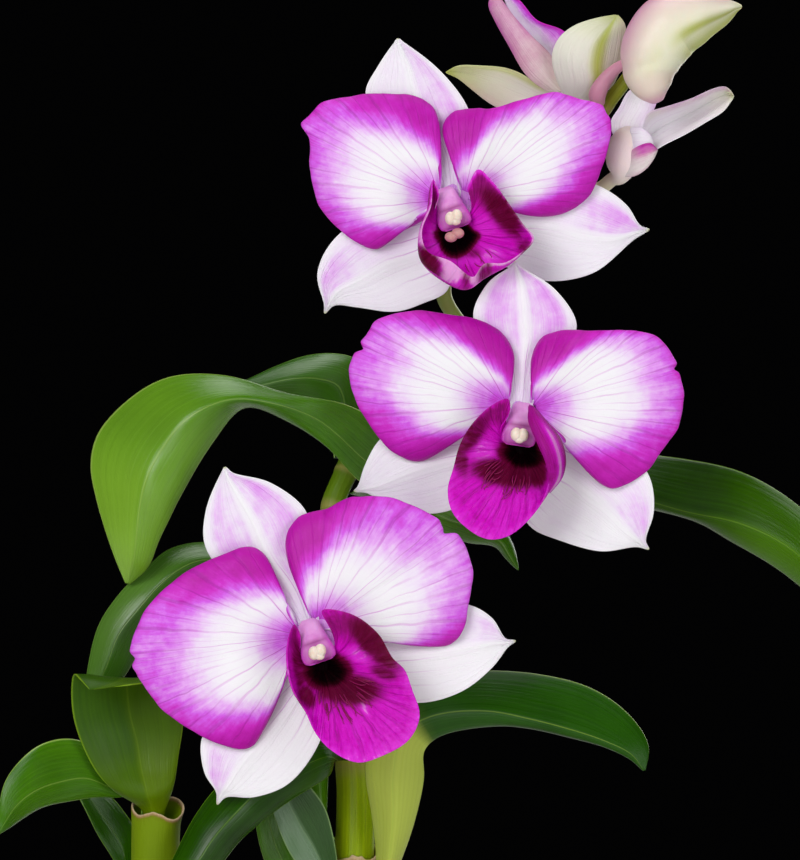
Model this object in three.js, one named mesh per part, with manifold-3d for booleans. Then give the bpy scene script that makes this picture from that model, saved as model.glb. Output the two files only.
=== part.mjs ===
// Potted dendrobium orchid: two leafy canes in a clay pot of bark, with a flower stem that carries
// three open blooms, two half-open blooms and a bud.
// Millimetres, +Z up, blooms facing -Y. The origin is the centre of the pot's foot.

import * as THREE from 'three';
import { mergeVertices } from 'three/addons/utils/BufferGeometryUtils.js';
import Module from 'manifold-3d';

const wasm = await Module();
wasm.setup();

// ---- driving sizes ----

const seatGap = 0.35; // between pieces that touch on the plant
const petalThickness = 0.7;
const lipThickness = 0.7;
const leafThickness = 0.8;

const pot = {
  height: 95,
  footRadius: 39,
  rimRadius: 57,
  bandHeight: 15,
  bandStep: 2.6,
  wall: 4,
  drainRadius: 4,
  drainCircle: 24,
  sides: 30,
};
const bark = { surface: 84, mound: 3, chips: 20, chipSize: [16, 10, 6] };

// x, y, z and radius along each stem
const leftCane = [
  [-20, 9, 66, 4.4], [-22, 8, 84, 4.7], [-24, 6, 104, 4.9], [-25.5, 3, 122, 5], [-26, 0.5, 140, 4.7],
  [-26, 0, 158.2, 4.6],
];
const middleCane = [
  [8, 5, 66, 4.6], [10, 5, 84, 4.8], [12.5, 6, 104, 4.9], [17, 10, 126.5, 4.8], [19, 12, 149.5, 4.6],
  [19, 14, 170.5, 4.2], [16.5, 17, 185.5, 3.7], [14.5, 20, 208.5, 3], [14, 22, 230, 2.7],
  [17, 24, 238, 2.6],
  [18.5, 26, 243, 2.3],
];
const flowerStem = [
  [18.62, 26.16, 243.4, 2.1], [19.4, 27.1, 245.8, 1.95], [23, 30, 250, 1.9], [30.5, 32, 258, 1.9],
  [40, 32, 265, 1.9], [51, 30, 273.5, 1.9],
  [56.5, 30, 285, 1.8], [63.5, 28, 298.5, 1.8], [70.5, 26, 312, 1.8], [77, 24, 322.5, 1.7],
  [81, 22.3, 327.5, 1.6], [84, 21.5, 332, 1.3], [86.5, 21.5, 336.5, 0.9], [87.5, 21.5, 339, 0.5],
];

// ---- shape tools ----

const vec = ([x, y, z]) => new THREE.Vector3(x, y, z);
const through = (points) => new THREE.CatmullRomCurve3(points.map(vec), false, 'centripetal');
const mix = (a, b, t) => a + (b - a) * t;

function solidFrom(positions, faces) {
  const geometry = new THREE.BufferGeometry();
  geometry.setAttribute('position', new THREE.Float32BufferAttribute(positions, 3));
  geometry.setIndex(faces);
  return geometry;
}

// A grid of points [row][column] given a thickness: the same triangles on both faces, and a rim.
function thicken(grid, thickness) {
  const rows = grid.length;
  const columns = grid[0].length;
  const top = [];
  const bottom = [];
  for (let i = 0; i < rows; i++) {
    for (let j = 0; j < columns; j++) {
      const along = grid[Math.min(i + 1, rows - 1)][j].clone().sub(grid[Math.max(i - 1, 0)][j]);
      const across = grid[i][Math.min(j + 1, columns - 1)].clone().sub(grid[i][Math.max(j - 1, 0)]);
      const lift = across.cross(along).normalize().multiplyScalar(thickness / 2);
      top.push(...grid[i][j].clone().add(lift).toArray());
      bottom.push(...grid[i][j].clone().sub(lift).toArray());
    }
  }
  const faces = [];
  const under = rows * columns;
  const at = (i, j) => i * columns + j;
  const quad = (a, b, c, d) => faces.push(a, b, c, a, c, d);
  for (let i = 0; i < rows - 1; i++) {
    for (let j = 0; j < columns - 1; j++) {
      const [a, b, c, d] = [at(i, j), at(i, j + 1), at(i + 1, j + 1), at(i + 1, j)];
      quad(a, b, c, d);
      faces.push(under + a, under + c, under + b, under + a, under + d, under + c);
    }
  }
  for (let j = 0; j < columns - 1; j++) {
    quad(at(0, j + 1), at(0, j), under + at(0, j), under + at(0, j + 1));
    quad(at(rows - 1, j), at(rows - 1, j + 1), under + at(rows - 1, j + 1), under + at(rows - 1, j));
  }
  for (let i = 0; i < rows - 1; i++) {
    quad(at(i, 0), at(i + 1, 0), under + at(i + 1, 0), under + at(i, 0));
    quad(at(i + 1, columns - 1), at(i, columns - 1), under + at(i, columns - 1), under + at(i + 1,
      columns - 1));
  }
  return solidFrom([...top, ...bottom], faces);
}

// A blade lofted between its left edge, its rib and its right edge, which all run from base to tip.
function blade({ left, rib, right }, rows, thickness, tipStop = 0.985) {
  const [leftCurve, ribCurve, rightCurve] = [left, rib, right].map(through);
  const grid = [];
  for (let i = 0; i <= rows; i++) {
    const v = (tipStop * i) / rows;
    const [a, m, b] = [leftCurve, ribCurve, rightCurve].map((curve) => curve.getPoint(v));
    grid.push([a, a.clone().lerp(m, 0.5), m, m.clone().lerp(b, 0.5), b]);
  }
  return thicken(grid, thickness);
}

// A sepal, as two edges from base to tip, with its rib between them and a little behind.
function sepal({ left, right }, keel = 0.8, rows = 6) {
  const rib = left.map((point, k) => {
    const middle = vec(point).lerp(vec(right[k]), 0.5);
    const fade = k === left.length - 1 ? 0 : 1;
    return [middle.x, middle.y + keel * fade, middle.z];
  });
  return blade({ left, rib, right }, rows, petalThickness);
}

// A petal that fans out from its claw to an edge of [x, z, depth] points, bowed towards the front.
function fan({ claw, edge, bow = 2.4, firstDepth = 2.6 }, rings = 4, rays = 16) {
  const edgeCurve = through(edge.map(([x, z, depth]) => [x, depth, z]));
  const grid = [];
  for (let i = 0; i <= rings; i++) {
    const t = mix(0.04, 1, i / rings);
    const row = [];
    for (let j = 0; j <= rays; j++) {
      const end = edgeCurve.getPoint(j / rays);
      const depth = mix(firstDepth, end.y, t * t) - bow * 4 * t * (1 - t);
      row.push(new THREE.Vector3(mix(claw[0], end.x, t), depth, mix(claw[1], end.z, t)));
    }
    grid.push(row);
  }
  return thicken(grid, petalThickness);
}

// A lip: rays that leave the throat, swell through the belly and end on the edge, all [x, z, depth].
function lipSheet({ throat, belly, edge }, rings = 4, rays = 20) {
  const swap = ([x, z, depth]) => [x, depth, z];
  const start = vec(swap(throat));
  const bellyCurve = through(belly.map(swap));
  const edgeCurve = through(edge.map(swap));
  const grid = [];
  for (let i = 0; i <= rings; i++) {
    const t = mix(0.1, 1, i / rings);
    const row = [];
    for (let j = 0; j <= rays; j++) {
      const ray = new THREE.QuadraticBezierCurve3(start, bellyCurve.getPoint(j / rays),
        edgeCurve.getPoint(j / rays));
      row.push(ray.getPoint(t));
    }
    grid.push(row);
  }
  const root = ball([throat[0], -0.6, throat[1]], [2.3, 1.2, 2.3], 6, 4);
  return join(thicken(grid, lipThickness), root);
}

// A closed round stalk through [x, y, z, radius] points.
function stalk(path, sides = 10, steps = 2 * (path.length - 1), swelling = () => 0) {
  const curve = through(path);
  const radii = through(path.map(([, , , radius]) => [radius, 0, 0]));
  const frames = { side: new THREE.Vector3(), up: new THREE.Vector3() };
  const positions = [];
  const faces = [];
  for (let i = 0; i <= steps; i++) {
    const v = i / steps;
    const centre = curve.getPoint(v);
    const tangent = curve.getTangent(v);
    frames.side.set(0, 1, 0).cross(tangent).normalize();
    frames.up.copy(tangent).cross(frames.side).normalize();
    const radius = radii.getPoint(v).x + swelling(v);
    for (let k = 0; k < sides; k++) {
      const turn = (2 * Math.PI * k) / sides;
      const point = centre.clone()
        .addScaledVector(frames.side, radius * Math.cos(turn))
        .addScaledVector(frames.up, radius * Math.sin(turn));
      positions.push(...point.toArray());
    }
  }
  const ring = (i, k) => i * sides + (k % sides);
  for (let i = 0; i < steps; i++) {
    for (let k = 0; k < sides; k++) {
      faces.push(ring(i, k), ring(i, k + 1), ring(i + 1, k + 1));
      faces.push(ring(i, k), ring(i + 1, k + 1), ring(i + 1, k));
    }
  }
  for (const [row, flip] of [[0, true], [steps, false]]) {
    for (let k = 1; k < sides - 1; k++) {
      const [a, b, c] = [ring(row, 0), ring(row, k), ring(row, k + 1)];
      faces.push(...(flip ? [a, c, b] : [a, b, c]));
    }
  }
  return solidFrom(positions, faces);
}

// A body of upright stations, each [x, y, z, half width, half depth].
function loft(stations, sides = 10) {
  const positions = [];
  const faces = [];
  stations.forEach(([x, y, z, halfWidth, halfDepth]) => {
    for (let k = 0; k < sides; k++) {
      const turn = (2 * Math.PI * k) / sides;
      positions.push(x + halfWidth * Math.cos(turn), y + halfDepth * Math.sin(turn), z);
    }
  });
  const last = stations.length - 1;
  const ring = (i, k) => i * sides + (k % sides);
  for (let i = 0; i < last; i++) {
    for (let k = 0; k < sides; k++) {
      faces.push(ring(i, k), ring(i, k + 1), ring(i + 1, k + 1));
      faces.push(ring(i, k), ring(i + 1, k + 1), ring(i + 1, k));
    }
  }
  for (let k = 1; k < sides - 1; k++) {
    faces.push(ring(0, 0), ring(0, k + 1), ring(0, k));
    faces.push(ring(last, 0), ring(last, k), ring(last, k + 1));
  }
  return solidFrom(positions, faces);
}

function ball(centre, [rx, ry, rz], columns = 8, rows = 6) {
  return new THREE.SphereGeometry(1, columns, rows).scale(rx, ry, rz).translate(...centre);
}

// ---- joins and cuts ----

function toManifold(geometry) {
  const bare = geometry.clone();
  bare.deleteAttribute('normal');
  bare.deleteAttribute('uv');
  const merged = mergeVertices(bare, 1e-4);
  const solid = new wasm.Manifold(new wasm.Mesh({
    numProp: 3,
    vertProperties: new Float32Array(merged.attributes.position.array),
    triVerts: new Uint32Array(merged.index.array),
  }));
  return solid.volume() < 0 ? solid.mirror([1, 0, 0]).mirror([1, 0, 0]) : solid;
}

function toGeometry(solid) {
  const { vertProperties, triVerts } = solid.getMesh();
  return solidFrom(vertProperties, Array.from(triVerts));
}

const join = (...geometries) => toGeometry(geometries.map(toManifold).reduce((a,
  b) => a.add(b)).simplify(0.02));

const plant = new THREE.Group();

function add(name, geometry, colour, roughness, parent = plant) {
  const material = new THREE.MeshStandardMaterial({ color: colour, roughness, metalness: 0 });
  const mesh = new THREE.Mesh(geometry, material);
  mesh.name = name;
  parent.add(mesh);
  return mesh;
}

// ---- pot and bark ----

function potSolid() {
  const { height, footRadius, rimRadius, bandHeight, bandStep, wall } = pot;
  const slope = (rimRadius - bandStep - footRadius) / height;
  const outside = (z) => footRadius + slope * z;
  const profile = [
    [0, 0], [footRadius - 1, 0], [footRadius, 1], [outside(height - bandHeight), height - bandHeight],
    [outside(height - bandHeight) + bandStep, height - bandHeight + 1], [rimRadius, height - 1.5],
    [rimRadius - 1.5, height], [rimRadius - wall, height], [rimRadius - wall - 0.8, height - 2],
    [outside(wall) - wall, wall], [0, wall],
  ].map(([r, z]) => new THREE.Vector2(r, z));
  let solid = toManifold(new THREE.LatheGeometry(profile, pot.sides).rotateX(Math.PI / 2));
  for (let k = 0; k < 4; k++) {
    const turn = Math.PI / 4 + (Math.PI / 2) * k;
    const hole = new THREE.CylinderGeometry(pot.drainRadius, pot.drainRadius, 3 * wall,
      12).rotateX(Math.PI / 2);
    hole.translate(pot.drainCircle * Math.cos(turn), pot.drainCircle * Math.sin(turn), wall / 2);
    solid = solid.subtract(toManifold(hole));
  }
  return toGeometry(solid);
}

function seededRandom(seed) {
  let state = seed;
  return () => {
    state = (state * 1664525 + 1013904223) % 4294967296;
    return state / 4294967296;
  };
}

// The bark fills the pot, with chips half sunk in its top and a plain hole for each cane.
function barkSolid() {
  const { height, footRadius, rimRadius, bandStep, wall } = pot;
  const slope = (rimRadius - bandStep - footRadius) / height;
  const inside = (z) => footRadius + slope * z - wall - seatGap - 0.5;
  const floor = wall + seatGap;
  const profile = [
    [0, floor], [inside(floor), floor], [inside(bark.surface), bark.surface],
    [inside(bark.surface) * 0.6, bark.surface + bark.mound * 0.7], [0, bark.surface + bark.mound],
  ].map(([r, z]) => new THREE.Vector2(r, z));
  let solid = toManifold(new THREE.LatheGeometry(profile, 24).rotateX(Math.PI / 2));
  const random = seededRandom(7);
  const reach = inside(bark.surface) - 8;
  for (let k = 0; k < bark.chips; k++) {
    const radius = reach * Math.sqrt((k + 0.5) / bark.chips);
    const turn = k * 2.39996 + 0.3 * random();
    const size = bark.chipSize.map((side) => side * mix(0.7, 1.1, random()));
    const chip = new THREE.BoxGeometry(...size);
    chip.rotateX(mix(-0.3, 0.3, random())).rotateY(mix(-0.3, 0.3, random())).rotateZ(Math.PI * random());
    const top = bark.surface + bark.mound * (1 - radius / reach);
    chip.translate(radius * Math.cos(turn), radius * Math.sin(turn), top + mix(-0.5, 1, random()));
    solid = solid.add(toManifold(chip));
  }
  for (const cane of [leftCane, middleCane]) {
    const [foot, collar, above] = cane;
    const clear = ([x, y, z, radius]) => [x, y, z, radius + seatGap + 0.2];
    const bottom = [foot[0], foot[1], foot[2] - seatGap, foot[3]];
    solid = solid.subtract(toManifold(stalk([bottom, collar, above].map(clear), 12, 6)));
  }
  return toGeometry(solid);
}

add('pot', potSolid(), 0xa9603f, 0.9);
add('bark', barkSolid(), 0x5b3a26, 0.95);

// ---- canes, sheaths and flower stem ----

// Where a cane's centre line is at a height, as [x, y, radius]
function caneAt(cane, z) {
  const curve = through(cane);
  let [low, high] = [0, 1];
  for (let k = 0; k < 24; k++) {
    const middle = (low + high) / 2;
    if (curve.getPoint(middle).z < z) low = middle;
    else high = middle;
  }
  const centre = curve.getPoint(low);
  const k = Math.min(Math.floor(low * (cane.length - 1)), cane.length - 2);
  const radius = mix(cane[k][3], cane[k + 1][3], low * (cane.length - 1) - k);
  return [centre.x, centre.y, radius];
}

// Rings where a stem's joints stand out a little from it, each given as a share of its length
const nodeRing = (places, height) => (v) => places.reduce(
  (sum, place) => sum + height * Math.exp(-(((v - place) / 0.012) ** 2)), 0);

add('left_cane', stalk(leftCane, 12, 20, nodeRing([0.4, 0.65], 0.4)), 0x7f8f1c, 0.45);
add('middle_cane', stalk(middleCane, 10, 30, nodeRing([0.3, 0.5, 0.7, 0.8, 0.9], 0.3)), 0x6f8a2a, 0.45);

// A papery sleeve round a cane. Its torn rim has a height and a flare at eight places round the cane,
// starting on the right and going round by the back.
function sheath({ cane, foot, rim, flare }, sides = 16) {
  const wall = 0.6;
  const around = (values) => new THREE.CatmullRomCurve3(values.map((v) => new THREE.Vector3(v, 0, 0)),
    true);
  const [rimCurve, flareCurve] = [rim, flare].map(around);
  const grid = [0, 0.5, 0.85, 1].map((level) => {
    const row = [];
    for (let k = 0; k <= sides; k++) {
      const turn = (2 * Math.PI * k) / sides;
      const z = mix(foot, rimCurve.getPoint((k % sides) / sides).x, level);
      const [x, y, radius] = caneAt(cane, z);
      const reach = radius + seatGap + wall / 2 + flareCurve.getPoint((k % sides) / sides).x * level ** 3;
      row.push(new THREE.Vector3(x + reach * Math.cos(turn), y + reach * Math.sin(turn), z));
    }
    return row;
  });
  return ringSolid(grid, wall);
}

// Rows of closed rings, each last point on its first, given a wall to the outside.
function ringSolid(grid, wall) {
  const rows = grid.length;
  const sides = grid[0].length - 1;
  const positions = [];
  for (const side of [1, -1]) {
    for (const row of grid) {
      const centre = row.slice(0, sides).reduce((sum, p) => sum.add(p),
        new THREE.Vector3()).divideScalar(sides);
      for (let k = 0; k < sides; k++) {
        const out = row[k].clone().sub(centre).setZ(0).normalize();
        positions.push(...row[k].clone().addScaledVector(out, (side * wall) / 2).toArray());
      }
    }
  }
  const inner = rows * sides;
  const at = (i, k) => i * sides + (k % sides);
  const faces = [];
  const quad = (a, b, c, d) => faces.push(a, b, c, a, c, d);
  for (let k = 0; k < sides; k++) {
    for (let i = 0; i < rows - 1; i++) {
      quad(at(i, k), at(i, k + 1), at(i + 1, k + 1), at(i + 1, k));
      quad(inner + at(i, k), inner + at(i + 1, k), inner + at(i + 1, k + 1), inner + at(i, k + 1));
    }
    quad(at(0, k + 1), at(0, k), inner + at(0, k), inner + at(0, k + 1));
    quad(at(rows - 1, k), at(rows - 1, k + 1), inner + at(rows - 1, k + 1), inner + at(rows - 1, k));
  }
  return solidFrom(positions, faces);
}

const sheaths = {
  left: {
    cane: leftCane,
    foot: 146,
    rim: [162, 164, 164, 163.6, 162.8, 160.6, 161.3, 159.6],
    flare: [1.3, 0.9, 0.2, 0.1, 0.1, 0, 0.1, 1.2],
  },
  middle: {
    cane: middleCane,
    foot: 139,
    rim: [151.5, 152.5, 152, 151, 152, 149.5, 150.5, 149.5],
    flare: [0.3, 0.3, 0.3, 0.3, 0.6, 0.3, 0.2, 0.4],
  },
};
add('left_cane_sheath', sheath(sheaths.left), 0x97922e, 0.7);
add('middle_cane_sheath', sheath(sheaths.middle), 0xb79a78, 0.8);

add('flower_stem', stalk(flowerStem, 8, 26, nodeRing([5 / 26, 7 / 26, 9 / 26, 15 / 26, 18 / 26], 0.3)),
  0x76852e, 0.5);

// ---- leaves ----

// The first row of a leaf clasps its cane: three points round it, facing the given way in degrees.
function clasp({ cane, height, facing, spread }) {
  const [x, y, radius] = caneAt(cane, height);
  const reach = radius + seatGap + leafThickness / 2 + 0.45;
  return [-spread, 0, spread].map((offset) => {
    const turn = THREE.MathUtils.degToRad(facing + offset);
    return [x + reach * Math.cos(turn), y + reach * Math.sin(turn), height];
  });
}

const leafGreen = { bright: 0x3f7a14, dark: 0x1f4a1c, pale: 0x8aa84c, olive: 0x41600f };

const leaves = {
  arched_leaf: {
    seat: { cane: middleCane, height: 239, facing: -55, spread: -40 },
    outer: [[25.5, 19, 243], [23, 14, 242.5], [14, 6, 250], [3.5, 0, 256], [-10.5, -2, 260],
      [-25.5, 2, 259],
      [-38.5, 3, 248.5], [-41, 2, 240.5], [-39.5, 0, 231.5], [-36, 0, 220.5], [-32.5, 2, 212]],
    rib: [[24.5, 17.5, 240], [22, 12, 240], [11.5, 3, 249.5], [1.5, -4, 253.5], [-9, -8, 254.5],
      [-18.5, -9, 250],
      [-24.5, -8, 242.5], [-27.5, -8, 236.5], [-29, -7, 230.5], [-30.5, -4, 219], [-32.5, 2, 212]],
    inner: [[23.5, 17, 236], [20.5, 12, 235.5], [13, 6, 243.5], [4, 2, 249.5], [-5.5, 0, 253],
      [-13, -3, 244.5],
      [-20, -5, 232.5], [-22.5, -5, 227.5], [-25, -4, 222.5], [-27.5, -2, 216.5], [-32.5, 2, 212]],
    colour: leafGreen.bright,
  },
  back_leaf: {
    seat: { cane: middleCane, height: 241, facing: 140, spread: 35 },
    outer: [[17, 31, 246], [19, 33.5, 251], [22, 33.5, 258], [19, 31.5, 264], [13.5, 30, 265.5],
      [7.5, 30, 265], [1, 28, 262.5], [-6.5, 26, 259],
      [-17, 24, 255]],
    rib: [[15, 28.5, 244.5], [16, 28, 248], [16.5, 27.5, 253], [15, 26, 258], [10.5, 24.5, 259.5],
      [5.5, 24, 259.5], [0, 24, 258.5], [-7.5, 24, 256.5],
      [-17, 24, 255]],
    inner: [[14, 26, 243], [14, 27, 245.5], [13, 27.5, 248], [11, 28, 252], [7.5, 29, 255],
      [3, 28, 255.5], [-2.5, 26, 255], [-9.5, 25, 254],
      [-17, 24, 255]],
    colour: leafGreen.bright,
  },
  low_left_leaf: {
    seat: { cane: middleCane, height: 206, facing: -170, spread: -45 },
    outer: [[-2, 14, 219.5], [-16, 10, 222], [-23, 8, 220.5], [-28, 6, 216.5], [-34, 4, 211],
      [-39, 3, 203.5],
      [-41.5, 3, 194], [-42.5, 4, 185]],
    rib: [[-2, 9, 214.5], [-15, 4, 218], [-20.5, 2, 216], [-25, 1, 212.5], [-29.5, 0, 207.5],
      [-34.5, 0, 201],
      [-37.5, 1, 193], [-42.5, 4, 185]],
    inner: [[-1, 12, 208], [-11.5, 7, 210.5], [-17, 5, 209.5], [-21, 4, 206], [-25, 4, 202],
      [-29.5, 3, 197.5],
      [-34, 3, 190.5], [-42.5, 4, 185]],
    colour: leafGreen.bright,
  },
  right_leaf: {
    seat: { cane: middleCane, height: 240, facing: 60, spread: 40 },
    outer: [[36.5, 40, 246], [62.5, 42, 245.5], [81, 38, 242.5], [95, 32, 241], [109, 24, 238],
      [121.5, 16, 230],
      [130.5, 8, 219], [136, 2, 200]],
    rib: [[36.5, 37, 241], [62, 37, 237], [80.5, 31, 233], [96, 25, 228.5], [108, 18, 226],
      [119, 11, 220.5],
      [128, 4, 211], [136, 2, 200]],
    inner: [[36.5, 38, 236], [62.5, 40, 231], [81, 36, 230], [94.5, 31, 228.5], [105.5, 23, 222],
      [116.5, 16, 215.5],
      [127, 8, 207], [136, 2, 200]],
    colour: leafGreen.dark,
  },
  hanging_leaf: {
    seat: { cane: middleCane, height: 233, facing: 10, spread: 40 },
    outer: [[29.5, 30, 238], [40, 28, 231.5], [48, 26, 228], [54, 24, 224], [56, 24, 220], [57, 24, 215]],
    rib: [[28, 27, 234], [39, 25, 227.5], [46.5, 22, 225], [52.5, 21, 222], [54.5, 22, 219], [57, 24, 215]],
    inner: [[26.5, 30, 230.5], [38, 28, 224], [45.5, 26, 221.5], [51.5, 24, 220.5], [54, 24, 218],
      [57, 24, 215]],
    colour: leafGreen.pale,
  },
  upright_leaf: {
    base: { outer: [-28.2, -1.2, 159.1], rib: [-26.5, -3, 159.1], inner: [-24.4, -1.2, 159.1] },
    outer: [[-29.2, -2, 161.9], [-35, -6, 166], [-39, -8, 170.5], [-42, -9, 176], [-44, -10, 182.5],
      [-44.5, -11, 188.5],
      [-44, -13, 192.5], [-42.5, -17, 192], [-39.5, -20, 189.5]],
    rib: [[-26.6, -3.9, 161.9], [-27.5, -7, 165.5], [-29, -5, 171], [-30, -4, 177], [-31.5, -5, 183],
      [-32, -8, 188], [-32, -12, 191.5],
      [-33.5, -17, 191], [-39.5, -20, 189.5]],
    inner: [[-23.4, -2, 162.2], [-21.5, -5, 167.5], [-20.5, -5, 174], [-19.5, -6, 180],
      [-19, -8, 185.5], [-19, -10, 189.5],
      [-21.5, -13, 191.5], [-28, -17, 191], [-39.5, -20, 189.5]],
    colour: leafGreen.olive,
  },
  left_leaf: {
    base: { outer: [-27, 2.8, 159.1], rib: [-28.4, 1.6, 159.1], inner: [-29.2, 0.4, 159.1] },
    outer: [[-28, 2.4, 164.8], [-36, 0, 171.5], [-41, -3, 176.5], [-46.5, -8, 178], [-52.5, -14, 176.5],
      [-58, -20, 170.5],
      [-59.5, -26, 164.5], [-59.5, -30, 158]],
    rib: [[-29.2, 1.2, 164.6], [-36, -3, 166.5], [-41.5, -8, 169], [-47, -13, 168.5], [-52, -19, 167],
      [-56, -24, 164], [-58, -28, 161],
      [-59.5, -30, 158]],
    inner: [[-29.7, 0.2, 164.4], [-35, -1, 164.2], [-40, -5, 164.5], [-45.5, -10, 164],
      [-50.5, -16, 163], [-54.5, -21, 161],
      [-57, -26, 159.5], [-59.5, -30, 158]],
    colour: leafGreen.bright,
  },
  lower_left_leaf: {
    seat: { cane: leftCane, height: 136, facing: 165, spread: -35 },
    outer: [[-34, 7, 145], [-36, 10, 149], [-39.5, 12, 154], [-42.5, 14, 160], [-46, 16, 166],
      [-49, 18, 172]],
    rib: [[-33, 9.5, 147.5], [-34, 11.5, 152], [-37, 13.5, 156.5], [-40, 15, 160.5], [-44, 17, 166],
      [-49, 18, 172]],
    inner: [[-31, 8, 151], [-31, 10, 156], [-33.5, 12, 160], [-37, 14, 163.5], [-42.5, 16, 167.5],
      [-49, 18, 172]],
    colour: leafGreen.dark,
  },
  dark_leaf: {
    seat: { cane: middleCane, height: 172, facing: -125, spread: -40 },
    outer: [[11.5, 1, 176.5], [2.5, -4, 175], [-5.5, -7, 172], [-11.5, -9, 167.5], [-17, -11, 160.5],
      [-21.5, -13, 151.5], [-26, -14, 142.5], [-30.5, -13, 133.5]],
    rib: [[12.5, -1, 173.5], [5, -7, 170.5], [-1.5, -11, 167], [-6.5, -14, 162.5], [-12, -16, 156.5],
      [-16, -17, 150.5], [-22.5, -17, 142], [-30.5, -13, 133.5]],
    inner: [[13.5, 2, 169], [8.5, -3, 166], [3.5, -6, 163], [-1.5, -9, 159.5], [-6.5, -11, 155],
      [-11, -13, 149.5], [-19.5, -14, 140.5], [-30.5, -13, 133.5]],
    colour: leafGreen.dark,
  },
  grey_leaf: {
    seat: { cane: middleCane, height: 131, facing: -122, spread: -28 },
    outer: [[15.5, 2.5, 147.5], [14.5, 0, 155], [12.5, -1, 162], [9.5, -1, 166.5], [5, 0, 170.5],
      [-0.5, 1, 173]],
    rib: [[12.5, 4, 146], [10, 3, 152.5], [7, 2, 157.5], [4.5, 1, 162.5], [2, 1, 167.5], [-0.5, 1, 173]],
    inner: [[9, 2, 144], [5.5, 1, 149.5], [3, 0, 154.5], [1, 0, 159.5], [-0.5, 0, 165.5], [-0.5, 1, 173]],
    colour: leafGreen.dark,
  },
  green_leaf: {
    seat: { cane: middleCane, height: 125, facing: 165, spread: -35 },
    outer: [[10, 10, 140], [7.5, 8.5, 148.5], [5.5, 7.5, 154], [3, 7, 160], [0.5, 7, 165], [-2, 7, 170.5]],
    rib: [[7, 9, 139], [3.5, 7.5, 147.5], [1, 7, 153], [-0.5, 7, 158.5], [-1.5, 7, 164.5], [-2, 7, 170.5]],
    inner: [[4, 10, 138], [-0.5, 8.5, 146.5], [-2.5, 7.5, 152.5], [-3.5, 7, 158], [-3, 7, 164],
      [-2, 7, 170.5]],
    colour: leafGreen.bright,
  },
  node_leaf: {
    seat: { cane: middleCane, height: 153.8, facing: 195, spread: -25 },
    outer: [[12.6, 10, 158], [12.8, 10.5, 163], [13, 11, 168], [13, 12, 172.5], [11, 13, 177]],
    rib: [[12, 7.5, 157.5], [11.5, 7.5, 162], [11, 8.5, 166.5], [10.5, 10, 171.5], [11, 13, 177]],
    inner: [[10, 7.5, 156], [9, 8, 160], [8.5, 9, 165], [8.5, 11, 171], [11, 13, 177]],
    colour: leafGreen.bright,
  },
  pale_leaf: {
    seat: { cane: middleCane, height: 127, facing: -30, spread: 40 },
    outer: [[24, 5, 147], [23.2, 1.5, 159], [21.5, -2, 171], [23.5, -6, 184], [33, -4, 192], [49.5, 2, 193],
      [62.5, 4, 192], [73, 4, 189], [81.5, 2, 183], [86, 0, 176], [85, -2, 170]],
    rib: [[26.5, 1, 146.5], [28, -4, 159.5], [28, -7, 169.5], [30, -9, 179], [36.5, -8, 183],
      [48.5, -5, 184],
      [59, -3, 182], [68.5, -2, 179.5], [76, -2, 177], [82, -2, 174], [85, -2, 170]],
    inner: [[29, 4, 147.5], [32.5, 0, 157.5], [35, -3, 168.5], [35, -5, 175], [38.5, -5, 178.5],
      [50, -2, 180.5],
      [59.5, 0, 180], [68.5, 1, 178], [76.5, 0, 176], [82, -1, 173], [85, -2, 170]],
    colour: leafGreen.pale,
  },
};

for (const [name, leaf] of Object.entries(leaves)) {
  const [outerSeat, ribSeat, innerSeat] = leaf.seat
    ? clasp(leaf.seat)
    : [leaf.base.outer, leaf.base.rib, leaf.base.inner];
  const edges = {
    left: [outerSeat, ...leaf.outer],
    rib: [ribSeat, ...leaf.rib],
    right: [innerSeat, ...leaf.inner],
  };
  add(name, blade(edges, edges.rib.length, leafThickness), leaf.colour, 0.4);
}

// ---- open blooms ----

// Sepals are edges of [x, z, depth] points from base to tip, petals fan out from a claw.
const facingFront = (points) => points.map(([x, z, depth]) => [x, depth, z]);

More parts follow.
